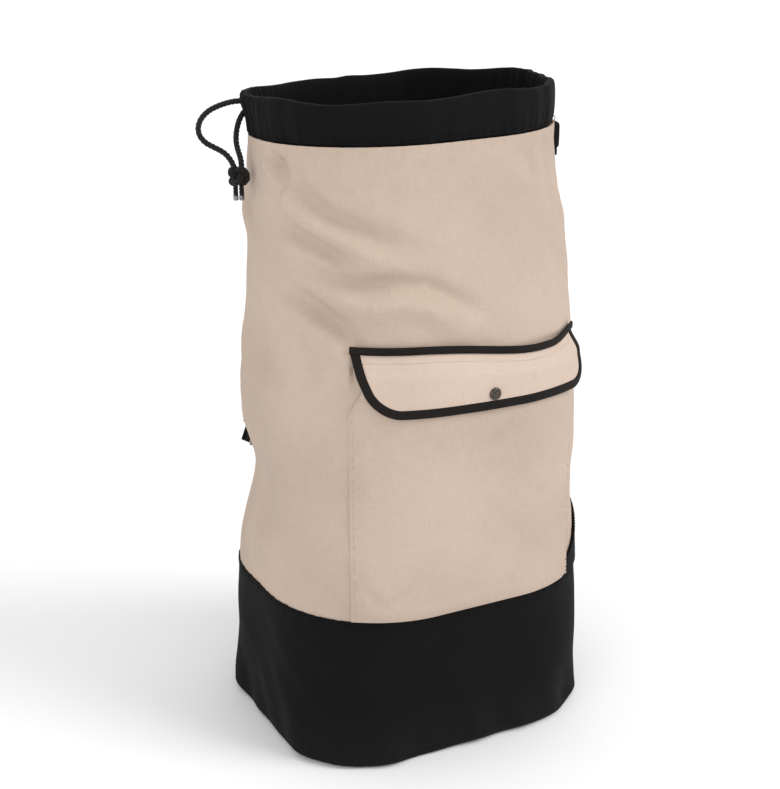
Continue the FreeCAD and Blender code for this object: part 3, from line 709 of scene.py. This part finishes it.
band = lay_grid("foot_band", 340, 64, band_place, (1.15, 0.18), joined=True)
finish_piece(band, "bag", BLACK, CLOTH * 0.8, stands_for=["base_band"])


def bottom_place(u, v):
    around = 2 * u - 1
    rim = wall(around, 0 * around, -ROLL + 0.001)[0]
    middle = rim * np.array([1.0, 1.0, 0.0])
    points = middle * (0.02 + 0.98 * v[:, None])
    points[:, 2] = BOTTOM_LEVEL
    return points


bottom = lay_grid("bottom_panel", 180, 24, bottom_place, (1.1, 0.15), joined=True)
close_ends(bottom, 200)
finish_piece(bottom, "bag", BLACK, 0.0022, 1.0, stands_for=["base_panel"])

# %% [markdown]
# The casing is a folded tube of black canvas with the drawstring inside, so its section is a
# flattened ring. It puckers where it is stitched to the body, and the cord's way out gathers
# it on the left towards the back, where its top edge flares.

# %% Mouth casing
EXIT_LEVEL, EXIT_STATION = 0.674, 0.423         # metres up, and round from the +X side
neck_round = float(half_round(NECK_LEVEL))
exit_around = (EXIT_STATION / neck_round + 0.5 + 1) % 2 - 1
CASING_HEIGHT = RIM_LEVEL - NECK_LEVEL
CASING_MIDDLE, CASING_HALF_THICKNESS = -0.0055, 0.0058


def squared(wave, power):
    """A sine or cosine with its bends drawn out towards the corners of its square."""
    return np.sign(wave) * np.abs(wave) ** power


def casing_place(u, v):
    around = 2 * u - 1
    turn = 2 * math.pi * v
    up, out = squared(np.sin(turn), 0.72), squared(np.cos(turn), 0.55)
    level = NECK_LEVEL + CASING_HEIGHT * (0.5 + 0.5 * up)
    across = around * neck_round
    from_exit = (around - exit_around) * neck_round
    gather = hump(from_exit, 0.050)
    right_end = hump((around - 0.50) * neck_round, 0.075)
    depth = CASING_MIDDLE + CASING_HALF_THICKNESS * out
    low = hump(level - NECK_LEVEL, 0.010)
    even = off_the_back(around)

    def rumples(along, height):
        return swell(along, height, 0.0018)

    relief = even * puckers(across, level - NECK_LEVEL, 0.020, 0.0005)
    relief = relief + all_round(rumples, around, level)
    relief = relief + 0.0022 * gather * np.sin(from_exit * 520 + 0.6)
    relief = relief + 0.0024 * right_end * np.sin(across * 330) * np.cos(across * 90)
    relief = relief + 0.0010 * even * np.sin(across * 150 + 9 * level) * np.sin(across * 41)
    relief = relief - 0.0018 * low * (out > 0)
    top = smooth_step(level, NECK_LEVEL + 0.012, RIM_LEVEL)
    relief = relief + 0.0085 * gather * top
    dimple = -0.0065 * hump(from_exit, 0.0085) * hump(level - EXIT_LEVEL, 0.009)
    relief = relief + np.where(out > 0, dimple, 0)
    points = lean(wall(around, level, depth + relief)[0])
    wave = even * (0.0018 * np.sin(across * 19 + 0.8) + 0.0012 * np.sin(across * 53))
    points[:, 2] += (wave - 0.002 * gather + 0.005 * right_end) * top
    return points


casing = lay_grid("casing", 420, 40, casing_place, (1.0, 0.10), joined=True)
finish_piece(casing, "bag", BLACK, stands_for=["mouth_casing"])

# %% [markdown]
# The patch pocket is one canvas piece sewn to the front on three sides. Its sides and foot
# lie on the body; its middle and mouth stand off it, so that something can go in. A few
# short slanting folds show where its cloth is slack.

# %% Pocket
# The folds are lines of (metres from the front's middle, level), width and depth.
pocket_low, pocket_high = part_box("pocket_panel")
POCKET_HALF = 0.134
POCKET_FOLDS = [
    ([(-0.128, 0.214), (-0.107, 0.186), (-0.086, 0.199), (-0.062, 0.218)], 0.008, -0.0030),
    ([(-0.100, 0.182), (-0.050, 0.190), (0.010, 0.194)], 0.012, -0.0018),
    ([(0.055, 0.372), (0.020, 0.352), (-0.010, 0.350)], 0.012, -0.0026),
    ([(0.118, 0.300), (0.100, 0.240), (0.104, 0.200)], 0.014, -0.0024),
    ([(-0.118, 0.388), (-0.108, 0.330), (-0.113, 0.262)], 0.013, -0.0022),
]


def line_relief(across, level, lines):
    """Shallow grooves with raised edges, for cloth that lies on other cloth."""
    total = np.zeros(np.shape(across))
    for line, width, depth in lines:
        gap, share = near_line(across, level, line)
        fade = np.sin(math.pi * np.clip(share, 0.03, 0.97)) ** 0.6
        total = total + depth * fade * (hump(gap, width) - 0.4 * hump(gap, 2.4 * width))
    return total


def pocket_half(level):
    """Half the pocket's width, which draws in a little under the flap."""
    return POCKET_HALF - 0.016 * smooth_step(level, 0.385, pocket_high.z)


def pocket_proud(across, level):
    """Rises from the sewn edges to the pocket's full room at its mouth."""
    from_side = pocket_half(level) - np.abs(across - POCKET_SHIFT)
    from_foot = level - pocket_low.z
    edge = 1 - np.exp(-np.minimum(from_side, from_foot) / 0.009)
    room = 0.0040 + 0.0036 * smooth_step(level, 0.24, 0.42)
    return 0.0003 + edge * room


def pocket_place(u, v):
    level = pocket_low.z + v * (pocket_high.z - pocket_low.z)
    half = pocket_half(level)
    across = (2 * u - 1) * half + POCKET_SHIFT
    side_gap = half - np.abs(across - POCKET_SHIFT)
    fade = smooth_step(np.minimum(side_gap, level - pocket_low.z), 0, 0.02)
    relief = line_relief(across, level, POCKET_FOLDS) + swell(across, level + 0.4, 0.0012)
    relief = pocket_proud(across, level) + relief * fade
    relief = relief + puckers(level, side_gap, 0.008, 0.0003)
    return wall(across / half_round(level), level, relief + 0.0012)[0]


pocket = lay_grid("pocket", 120, 110, pocket_place, (0.272, 0.253))
finish_piece(pocket, "bag", CREAM, 0.0014, stands_for=["pocket_panel"])

# %% [markdown]
# The flap hangs from a taped seam above the pocket and closes over its mouth with one snap.
# Its sides slant in a little towards the foot, its lower corners are round, and its lower
# right corner lifts. Black tape is folded round its free edge.

# %% Flap
tape_low, tape_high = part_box("flap_top_tape")
FLAP_LEFT, FLAP_RIGHT = (-0.1345, -0.112), (0.1345, 0.1325)
FLAP_CORNER = 0.024
FLAP_ROOT, FLAP_STAND = 0.0014, 0.0125          # out from the wall at its seam, and below
snap_low, snap_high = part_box("snap_cap")
SNAP = (snap_low + snap_high) / 2


def flap_end(level, ends):
    """Where a side of the flap is at a level: a slanting edge that ends in a round corner."""
    top, foot = ends
    height = np.clip(level - FLAP_FOOT, 0, None)
    side = foot + (top - foot) * height / (FLAP_TOP - FLAP_FOOT)
    inside = np.clip(FLAP_CORNER - height, 0, FLAP_CORNER)
    return side - np.sign(side) * (FLAP_CORNER - np.sqrt(FLAP_CORNER ** 2 - inside ** 2))


def flap_proud(across, level):
    """Outer face of the flap: from the seam out over the pocket, up to the snap's cap."""
    out = smooth_step(level, FLAP_TOP + 0.006, FLAP_TOP - 0.022)
    at_snap = hump(across - SNAP.x, 0.03)
    full = FLAP_STAND + 0.0014 * at_snap
    lift = 0.0050 * smooth_step(across, 0.06, 0.14) * smooth_step(level, 0.43, 0.39)
    sag = 0.0010 * np.sin(across * 40 + 0.5) * (1 - at_snap)
    return FLAP_ROOT + out * (full - FLAP_ROOT + lift + sag)


def seam_sag(across):
    """The seam that holds the flap dips to the right, where the cloth below it is slack."""
    return 0.0130 * smooth_step(across, -0.07, 0.07) - 0.0075 * smooth_step(across, 0.085, 0.135)


def flap_point(across, level, extra=0.0):
    proud = flap_proud(across, level) + extra
    level = level - seam_sag(across) * smooth_step(level, FLAP_FOOT + 0.01, FLAP_TOP)
    return wall(across / half_round(level), level, proud)


def flap_place(u, v):
    level = FLAP_FOOT + 0.002 + (FLAP_TOP + 0.003 - FLAP_FOOT) * v
    left, right = flap_end(level, FLAP_LEFT) + 0.002, flap_end(level, FLAP_RIGHT) - 0.002
    return flap_point(left + (right - left) * u, level)[0]


flap = lay_grid("flap", 110, 36, flap_place, (0.262, 0.059))
# the flap gets the lighter copy of the cream canvas, whose extra brightness is painted light
finish_piece(flap, "flap hinge", LIT_FLAP_CREAM, 0.0016, stands_for=["flap_panel"])

# %% [markdown]
# Tape folded round an edge has a flat oval section, and webbing has a flatter one with
# squarer edges. Both are such a section carried along a line of points, so one helper
# makes them: a grid whose rows run round the section, closed at its two ends.

# %% A helper for flat strips
def flat_strip(name, line, across, face, size, powers, sides):
    """Closed strip along a line. Its size is its width and thickness, and the powers say
    how square its edges and its flat faces are."""
    count = len(line) - 1

    def place(u, v):
        index = np.rint(u * count).astype(int)
        turn = 2 * math.pi * v
        wide = squared(np.cos(turn), powers[0]) * size[0] / 2
        high = squared(np.sin(turn), powers[1]) * size[1] / 2
        return line[index] + across[index] * wide[:, None] + face[index] * high[:, None]

    length = distance_along(line)[-1]
    strip = lay_grid(name, count, sides, place, (length, 2 * size[0]), joined=True)
    close_ends(strip, sides + 2)
    print(f"{name}: {length:.3f} m long")
    return strip


# %% [markdown]
# The binding runs down one side of the flap, along its foot and up the other side, a little
# in from the edge that it is folded round. Above the flap a straight tape covers the seam.

# %% Flap binding and seam tape
def tape_along(name, middle, outward, size, body, stands_for):
    """Oval tape along a line of points, its flat face turned outwards."""
    across = unit(np.cross(unit(np.gradient(middle, axis=0)), outward))
    tape = flat_strip(name, middle, across, outward, size, (0.6, 0.8), 14)
    finish_piece(tape, body, TAPE, stands_for=[stands_for])


BINDING_SIZE, SEAM_TAPE_SIZE = (0.0096, 0.0036), (0.0080, 0.0030)
BINDING_INSET = 0.0036
levels_down = FLAP_FOOT + (FLAP_TOP + 0.003 - FLAP_FOOT) * np.linspace(1, 0, 60) ** 1.6
edge = [(flap_end(level, FLAP_LEFT), level) for level in levels_down]
edge += [(x, FLAP_FOOT) for x in np.linspace(edge[-1][0], flap_end(FLAP_FOOT, FLAP_RIGHT), 80)[1:]]
edge += [(flap_end(level, FLAP_RIGHT), level) for level in levels_down[::-1][1:]]
edge3 = np.array([(x, 0.0, z) for x, z in edge])
edge3, edge_ahead = resample(edge3, 0.0022)
inner = np.stack([-edge_ahead[:, 2], 0 * edge_ahead[:, 0], edge_ahead[:, 0]], axis=1)
edge3 = edge3 + inner * BINDING_INSET
binding_points, binding_out = flap_point(edge3[:, 0], edge3[:, 2], -0.0008)
tape_along("flap_binding_tape", binding_points, binding_out, BINDING_SIZE, "flap hinge",
           "flap_binding")

seam_across = np.linspace(-0.1355, 0.1355, 130)
seam_level = (tape_low.z + tape_high.z) / 2 - 0.0006 - seam_sag(seam_across)
tape_points, tape_out = wall(seam_across / half_round(seam_level), seam_level, 0.0036)
tape_along("flap_seam_tape", tape_points, tape_out, SEAM_TAPE_SIZE, "bag", "flap_top_tape")

# %% [markdown]
# Where a flap is topstitched to a bag there is a line of thread just below the tape. The
# pocket has one inside each sewn side, and the casing and band one along the cream cloth's
# edge.

# %% Stitch rows
flap_row = np.linspace(-0.122, 0.123, 200)
points, outward = flap_point(flap_row, FLAP_TOP - 0.0065 + 0 * flap_row)
sew("flap_top_stitches", points, outward, CREAM_THREAD, "flap hinge")

for side, name in [(-1, "left"), (1, "right")]:
    rise = np.linspace(pocket_low.z + 0.004, 0.392, 120)
    shift = side * (pocket_half(rise) - 0.004) + POCKET_SHIFT
    place_at = pocket_proud(shift, rise) + 0.0013
    points, outward = wall(shift / half_round(rise), rise, place_at)
    sew(f"pocket_{name}_stitches", points, outward, CREAM_THREAD, "bag")

around_all = np.linspace(-1, 1, 520)
for name, level, proud, thread, slot in [
        ("band_seam_stitches", SEAM_LEVEL - 0.0045, 0.0008, BLACK_THREAD, "black_canvas"),
        ("casing_foot_stitches", NECK_LEVEL + 0.0055, 0.0002, BLACK_THREAD, "black_canvas")]:
    points, outward = wall(around_all, level + 0 * around_all, proud)
    sew(name, lean(points), outward, thread, "bag")

# %% [markdown]
# The shoulder strap is one length of webbing. It leaves its tab under the casing, goes round
# the back, folds round the slider's end bar and comes back lower down to the gusset. Its
# stops are given as in the design: millimetres along the wall from the +X side, level, and
# distance out from the wall.

# %% The strap's way round the bag
UPPER_RUN = [(-51, 625, 6), (-20, 622, 5.5), (10, 612, 5.5), (40, 594, 5.5), (70, 570, 5.5),
             (100, 545, 5.5), (130, 520, 5.5), (160, 495, 5.5), (190, 470, 5.5), (220, 445, 5.5),
             (250, 419, 5.5), (280, 393, 5.5), (307, 369, 6), (335, 345, 10)]
FOLD_STOP = (407, 298, 9)
LOWER_RUN = [(361, 261, 13), (333, 246, 10), (303, 236, 7), (273, 229, 5.5), (237, 224, 5.5),
             (200, 220, 5.5), (163, 217, 5.5), (126, 214, 5.5), (90, 212, 5.5), (54, 210, 5.5),
             (18, 208, 5.5), (-18, 206, 5.5), (-51, 205, 6)]
FOLD_RADIUS, FOLD_SLOPE = 0.0034, 0.6          # the slope is how fast the fold drops
WEB_SIZE = (0.030, 0.0020)           # width and thickness


def strap_stop(station, level, offset):
    """Point of the plain wall, counted from its +X side, moved outwards; metres."""
    level, offset = level / 1000, offset / 1000
    half_width, half_depth, corner = [np.interp(level, LEVELS, values)
                                      for values in (HALF_WIDTHS, HALF_DEPTHS, CORNERS)]
    quarter = half_width + half_depth - 2 * corner + corner * math.pi / 2
    return wall((station / 1000 + quarter) / (2 * quarter), level, offset)


# The fold is half a turn about the slider's end bar.
strap_points = [strap_stop(*stop)[0] for stop in UPPER_RUN]
fold_start, fold_outward = strap_stop(*FOLD_STOP)
heading = (fold_start - strap_points[-1]) * np.array([1, 1, 0])
heading = heading / np.linalg.norm(heading)
sideways = np.array([heading[1], -heading[0], 0])
sideways = sideways * (1 if sideways @ fold_outward > 0 else -1)
fold_centre = fold_start + sideways * FOLD_RADIUS
for turn in np.radians(np.arange(0, 181, 15)):
    strap_points.append(fold_centre + heading * FOLD_RADIUS * math.sin(turn)
                        - sideways * FOLD_RADIUS * math.cos(turn)
                        - np.array([0, 0, FOLD_SLOPE * FOLD_RADIUS * turn]))
strap_points += [strap_stop(*stop)[0] for stop in LOWER_RUN]
print("strap stops:", len(strap_points))

# %% [markdown]
# A smooth curve is drawn through the stops. Webbing keeps its width upright like a belt, so
# its section is turned by the slope of its way, and never twisted by its bends.

# %% Shoulder strap and its tab
def flowing(points, steps=6):
    """A smooth line through points, by the Catmull-Rom rule."""
    points = np.asarray(points, float)
    padded = np.concatenate([[2 * points[0] - points[1]], points, [2 * points[-1] - points[-2]]])
    line = []
    for a, b, c, d in zip(padded, padded[1:], padded[2:], padded[3:]):
        for t in np.linspace(0, 1, steps, endpoint=False):
            line.append(0.5 * (2 * b + (c - a) * t + (2 * a - 5 * b + 4 * c - d) * t ** 2
                               + (3 * b - a - 3 * c + d) * t ** 3))
    return np.array(line + [points[-1]])


def webbing(name, line, size, body, stands_for):
    """Flat strip along a line, upright like a belt, with rounded selvedges."""
    ahead = np.gradient(line, axis=0)
    plan = ahead * np.array([1, 1, 0])
    plan_length = np.linalg.norm(plan, axis=1, keepdims=True)
    plan = plan / plan_length
    slope = np.arctan2(ahead[:, 2:], plan_length)
    across = np.array([0, 0, 1]) * np.cos(slope) - plan * np.sin(slope)
    face = np.stack([plan[:, 1], -plan[:, 0], 0 * plan[:, 0]], axis=1)
    strip = flat_strip(name, line, across, face, size, (0.35, 0.5), 20)
    finish_piece(strip, body, WEBBING, stands_for=[stands_for])
    return across, face


strap_line = lean(flowing(strap_points))
strap_across, strap_face = webbing("strap", strap_line, WEB_SIZE, "shoulder_strap",
                                   "strap_webbing")
tab_low, tab_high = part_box("strap_top_tab")
TAB_SIZE, TAB_LIFT = (0.025, 0.0050), 0.009
tab_level = (tab_low.z + tab_high.z) / 2 + TAB_LIFT
tab_stops = [strap_stop(station, tab_level * 1000, 3.2)[0] for station in np.linspace(-70, -53, 7)]
webbing("strap_tab", lean(tab_stops), TAB_SIZE, "bag", "strap_top_tab")

# %% [markdown]
# The gusset is a five-sided patch of black canvas above the band. It spreads the strap's
# pull, so it is wide at its foot, comes to a blunt tip at the strap and is stitched down
# both sides.

# %% Gusset
gusset_low, gusset_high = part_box("strap_gusset")
GUSSET_FRONT, GUSSET_BACK = 0.1180, 0.306
GUSSET_MIDDLE, GUSSET_TIP, GUSSET_EDGE = 0.2260, 0.017, 0.014


def gusset_ends(height):
    rise = gusset_high.z - gusset_low.z
    share = np.clip((height - GUSSET_EDGE) / (rise - GUSSET_EDGE), 0, 1)
    return (GUSSET_FRONT + (GUSSET_MIDDLE - GUSSET_TIP - GUSSET_FRONT) * share,
            GUSSET_BACK + (GUSSET_MIDDLE + GUSSET_TIP - GUSSET_BACK) * share)


def gusset_place(u, v):
    height = v * (gusset_high.z - gusset_low.z)
    front, back = gusset_ends(height)
    across, level = front + (back - front) * u, gusset_low.z + height
    relief = 0.0024 + swell(across, level, 0.0006)
    return wall(across / half_round(level), level, relief)[0]


gusset = lay_grid("gusset", 60, 28, gusset_place, (0.176, 0.056))
finish_piece(gusset, "bag", BLACK, 0.0020, stands_for=["strap_gusset"])
rise = np.linspace(0.003, gusset_high.z - gusset_low.z - 0.003, 60)
for number, inset in enumerate((0.0035, -0.0035)):
    across = gusset_ends(rise)[number] + inset
    points, outward = wall(across / half_round(gusset_low.z + rise), gusset_low.z + rise, 0.0026)
    sew(f"gusset_stitches_{number + 1}", points, outward, BLACK_THREAD, "bag")

# %% [markdown]
# A strap end that has to carry weight is sewn down with a square and a cross inside it. The
# stitches follow the strap's own direction and width, a little above its face.

# %% Square and cross on the strap's lower end
BOX_START, BOX_LENGTH, BOX_HALF = 0.004, 0.026, 0.0115
from_end = distance_along(strap_line[::-1])


def strap_mark(back, across):
    """Point on the strap's outer face, a distance back from its lower end."""
    centre = np.array([np.interp(back, from_end, strap_line[::-1, axis]) for axis in range(3)])
    width_way = strap_across[-1]
    face_way = strap_face[-1] * (1 if strap_face[-1] @ centre > 0 else -1)
    return centre + width_way * across + face_way * (WEB_SIZE[1] / 2), face_way


corners = [(BOX_START, -BOX_HALF), (BOX_START, BOX_HALF), (BOX_LENGTH, BOX_HALF),
           (BOX_LENGTH, -BOX_HALF), (BOX_START, -BOX_HALF), (BOX_LENGTH, BOX_HALF)]
box_line = []
for (back, across), (next_back, next_across) in zip(corners, corners[1:]):
    box_line += [strap_mark(back + (next_back - back) * t, across + (next_across - across) * t)[0]
                 for t in np.linspace(0, 1, 12, endpoint=False)]
box_line += [strap_mark(*corners[-1])[0]]
cross_line = [strap_mark(BOX_START + (BOX_LENGTH - BOX_START) * t, BOX_HALF * (1 - 2 * t))[0]
              for t in np.linspace(0, 1, 20)]
outer_face = strap_mark(0.01, 0)[1]
sew("strap_box_stitches", box_line, outer_face, BLACK_THREAD, "shoulder_strap")
sew("strap_cross_stitches", cross_line, outer_face, BLACK_THREAD, "shoulder_strap")

# %% [markdown]
# Where the cord comes out, the casing's outer ply has a worked buttonhole: an oval of
# stitches that keeps the slot from fraying.

# %% Buttonhole
HOLE_HALF_WIDTH, HOLE_HALF_HEIGHT = 0.0075, 0.0062
oval = np.linspace(0, 2 * math.pi, 60)
hole_across = exit_around * neck_round + HOLE_HALF_WIDTH * np.cos(oval)
hole_level = EXIT_LEVEL - 0.002 + HOLE_HALF_HEIGHT * np.sin(oval)
hole_points, hole_out = wall(hole_across / neck_round, hole_level, 0.0044)
sew("buttonhole_stitches", lean(hole_points), hole_out, BLACK_THREAD, "bag")

# %% [markdown]
# The drawstring is a three-strand twisted cord. Its two free strands each follow a route of given
# points, which control a smooth NURBS curve. They come out at the left, and run down to one knot
# with two tipped ends below it.

# %% The cords' routes
CORD_RADIUS = 0.003
LOOP_ROUTE = [(-0.152, 0.053, 0.675), (-0.161, 0.057, 0.676), (-0.172, 0.058, 0.675),
              (-0.185, 0.057, 0.672), (-0.198, 0.055, 0.667), (-0.208, 0.052, 0.658),
              (-0.211, 0.048, 0.647), (-0.206, 0.043, 0.638), (-0.197, 0.038, 0.633),
              (-0.189, 0.032, 0.628), (-0.185, 0.026, 0.621), (-0.1845, 0.020, 0.615),
              (-0.1845, 0.015, 0.609)]
STRAIGHT_ROUTE = [(-0.154, 0.048, 0.671), (-0.161, 0.047, 0.667), (-0.168, 0.044, 0.659),
                  (-0.173, 0.040, 0.649), (-0.176, 0.035, 0.639), (-0.177, 0.028, 0.631),
                  (-0.177, 0.021, 0.624), (-0.178, 0.016, 0.617), (-0.180, 0.014, 0.609)]


def nurbs_line(name, route):
    """Points along the smooth curve that a route controls."""
    curve = bpy.data.curves.new(name, "CURVE")
    curve.dimensions = "3D"
    curve.resolution_u = 16
    spline = curve.splines.new("NURBS")
    spline.points.add(len(route) - 1)
    for control, point in zip(spline.points, route):
        control.co = (*point, 1.0)
    spline.order_u = 3
    spline.use_endpoint_u = True
    guide = bpy.data.objects.new(name, curve)
    bpy.context.scene.collection.objects.link(guide)
    bpy.context.view_layer.update()
    mesh = bpy.data.meshes.new_from_object(guide)
    line = np.array([vertex.co for vertex in mesh.vertices])
    bpy.data.objects.remove(guide)
    bpy.data.meshes.remove(mesh)
    return line


print("loop strand's route:", len(LOOP_ROUTE), "points; straight:", len(STRAIGHT_ROUTE))

# %% [markdown]
# A tube needs two directions across its line at every point. They are carried along from
# one point to the next, so that the tube doesn't twist by itself. A twisted cord is three
# such tubes, each wound round the cord's own line.

# %% Helpers for cords
def carried_frames(line):
    """Two directions across a line at each point, carried along it without twisting."""
    ahead = unit(np.gradient(line, axis=0))
    side = np.cross(ahead[0], (0.3, 0.9, 0.2))
    sides = []
    for direction in ahead:
        side = side - direction * (side @ direction)
        side = side / np.linalg.norm(side)
        sides.append(side)
    sides = np.array(sides)
    return sides, np.cross(ahead, sides)


def round_tube(name, line, radius, sides=10):
    """Round tube along a line, closed at both ends."""
    first, second = carried_frames(line)
    count = len(line) - 1

    def place(u, v):
        index = np.rint(u * count).astype(int)
        turn = -2 * math.pi * v
        return (line[index] + first[index] * (np.cos(turn) * radius)[:, None]
                + second[index] * (np.sin(turn) * radius)[:, None])

    cut = (distance_along(line)[-1], 2 * math.pi * radius)
    tube = lay_grid(name, count, sides, place, cut, joined=True)
    close_ends(tube, sides + 2)
    return tube


def twisted_cord(name, line, radius, pitch=0.013, strands=3):
    """Strands wound round a line, joined into one piece, and the line's length."""
    line = resample(line, 0.0009)[0]
    first, second = carried_frames(line)
    reached = distance_along(line)
    strand_radius, orbit = radius * 0.53, radius * 0.48
    made = []
    for number in range(strands):
        turn = 2 * math.pi * (reached / pitch + number / strands)
        path = line + orbit * (first * np.cos(turn)[:, None] + second * np.sin(turn)[:, None])
        made.append(round_tube(f"{name}_{number}", path, strand_radius, 9))
    bpy.ops.object.select_all(action="DESELECT")
    for tube in made:
        tube.select_set(True)
    bpy.context.view_layer.objects.active = made[0]
    bpy.ops.object.join()
    cord = bpy.context.object
    cord.name = cord.data.name = name
    return cord, float(reached[-1])


# %% [markdown]
# One cord runs all the way round inside the casing, but for a gap at the way out. It can't
# be seen, so it is a plain tube. The two strands outside are twisted cord.

# %% Drawstring
INNER_DEPTH = 0.0062                 # of the cord inside the casing, in from the wall
inner_around = exit_around + np.linspace(0.025, 1.975, 420)
inner_line = lean(wall(inner_around, EXIT_LEVEL, -INNER_DEPTH)[0])
inner_cord = round_tube("cord_in_casing", inner_line, CORD_RADIUS * 0.9)
finish_piece(inner_cord, "bag", CORD, stands_for=["drawstring_in_casing"])

for name, route in [("loop_strand", LOOP_ROUTE), ("straight_strand", STRAIGHT_ROUTE)]:
    line = nurbs_line(name + "_guide", route)
    cord, length = twisted_cord(name, line, CORD_RADIUS)
    finish_piece(cord, "drawstring_ends", CORD, stands_for=["drawstring_" + name])
    print(f"  {name}: {length * 1000:.0f} mm")

# %% [markdown]
# The knot is an overhand knot pulled tight: a line that passes over and under itself three
# times, made with the same twisted cord. The two ends below it are short cord stubs, each
# in a small metal tip that keeps it from fraying.

# %% Knot and ends
knot_low, knot_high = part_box("drawstring_knot")
KNOT = np.array((knot_low + knot_high) / 2)
turns = np.linspace(0, 2 * math.pi, 150)
wide = (2 + np.cos(3 * turns)) * 0.0029
knot_line = np.stack([wide * np.cos(2 * turns), wide * np.sin(2 * turns) * 0.95,
                      0.0060 * np.sin(3 * turns)], axis=1)
tilt = math.radians(62)
knot_line = knot_line @ np.array([[1, 0, 0], [0, math.cos(tilt), math.sin(tilt)],
                                  [0, -math.sin(tilt), math.cos(tilt)]])
swing = math.radians(-28)
knot_line = knot_line @ np.array([[math.cos(swing), math.sin(swing), 0],
                                  [-math.sin(swing), math.cos(swing), 0], [0, 0, 1]])
knot = twisted_cord("knot", KNOT + knot_line, 0.0033, 0.014)[0]
finish_piece(knot, "drawstring_ends", CORD, stands_for=["drawstring_knot"])

END_RADIUS, END_TUCK, TIP_LENGTH = 0.0026, 0.004, 0.0055
end_pieces = []
for name in ("left", "right"):
    low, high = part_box(f"drawstring_end_{name}")
    middle = (low + high) / 2
    stub = np.array([(middle.x, middle.y, level)
                     for level in np.linspace(KNOT[2] - END_TUCK, low.z + END_TUCK, 12)])
    end = twisted_cord(f"cord_end_{name}", stub, END_RADIUS, 0.010)[0]
    finish_piece(end, "drawstring_ends", CORD, stands_for=[f"drawstring_end_{name}"])
    bpy.ops.object.select_all(action="DESELECT")
    bpy.ops.mesh.primitive_cylinder_add(vertices=20, radius=END_RADIUS, depth=TIP_LENGTH,
                                        location=(middle.x, middle.y, low.z + 0.0032))
    tip = bpy.context.object
    tip.name = tip.data.name = f"cord_tip_{name}"
    bpy.ops.object.transform_apply(location=True, rotation=True, scale=True)
    rounding = tip.modifiers.new("Rounding", "BEVEL")
    rounding.width = 0.0011
    rounding.segments = 4
    bpy.ops.object.modifier_apply(modifier=rounding.name)
    finish_piece(tip, "drawstring_ends", CORD_TIP)
    end_pieces += [end, tip]

# %% [markdown]
# The snap's four metal parts and the slider already have their right shape in the frame, so
# they stay as they are and only get a finish.

# %% Carried-over metal
for material, nodes in [(GUNMETAL, ["snap_cap", "snap_socket", "snap_stud", "snap_post"]),
                        (NICKEL, ["slider_frame", "slider_bar"])]:
    for node in nodes:
        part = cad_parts[node]
        part.data.materials.clear()
        part.data.materials.append(material)
        print(f"{node}: {material.name}")

# %% [markdown]
# The setting: a pale floor, a broad soft key light from the right, an even white sky, some
# fill from the left, and a camera about 1.5 m away and a little above the mouth, turned
# towards the bag's front left corner.

# %% Floor, lights and camera
bpy.ops.object.select_all(action="DESELECT")
bpy.ops.mesh.primitive_plane_add(size=120, location=(0, 0, 0))
floor = bpy.context.object
floor.name = "floor"
floor_material, *_, floor_shader = new_finish("pale floor")
floor_shader.inputs["Base Color"].default_value = (0.86, 0.86, 0.86, 1)
floor_shader.inputs["Roughness"].default_value = 0.75
floor.data.materials.append(floor_material)

world = bpy.data.worlds.new("studio")
bpy.context.scene.world = world
world.use_nodes = True
sky = world.node_tree.nodes["Background"]
sky.inputs["Color"].default_value = (1.0, 1.0, 1.0, 1)
sky.inputs["Strength"].default_value = 0.97


def aim_lamp(name, kind, place, aim, strength):
    """A lamp of the given kind at a place, turned to its aim."""
    light = bpy.data.lights.new(name, kind)
    light.energy = strength
    lamp = bpy.data.objects.new(name, light)
    bpy.context.scene.collection.objects.link(lamp)
    lamp.location = place
    lamp.rotation_euler = (Vector(aim) - Vector(place)).to_track_quat("-Z", "Y").to_euler()
    return light


key = aim_lamp("soft key", "SUN", (2.2, -2.0, 2.9), (0, 0, 0.35), 1.50)
key.angle = math.radians(28)
fill = aim_lamp("left fill", "AREA", (-2.2, -1.6, 1.2), (0, 0, 0.35), 17)
fill.size = 1.6

CAMERA_PLACE = Vector((-0.6652, -1.2307, 0.8083))
CAMERA_AIM = Vector((-0.0159, 0.0084, 0.3560))
camera_data = bpy.data.cameras.new("camera")
camera_data.sensor_width = 36
camera_data.lens = 60.9
camera = bpy.data.objects.new("camera", camera_data)
bpy.context.scene.collection.objects.link(camera)
camera.location = CAMERA_PLACE
camera.rotation_euler = (CAMERA_AIM - CAMERA_PLACE).to_track_quat("-Z", "Y").to_euler()
bpy.context.scene.camera = camera
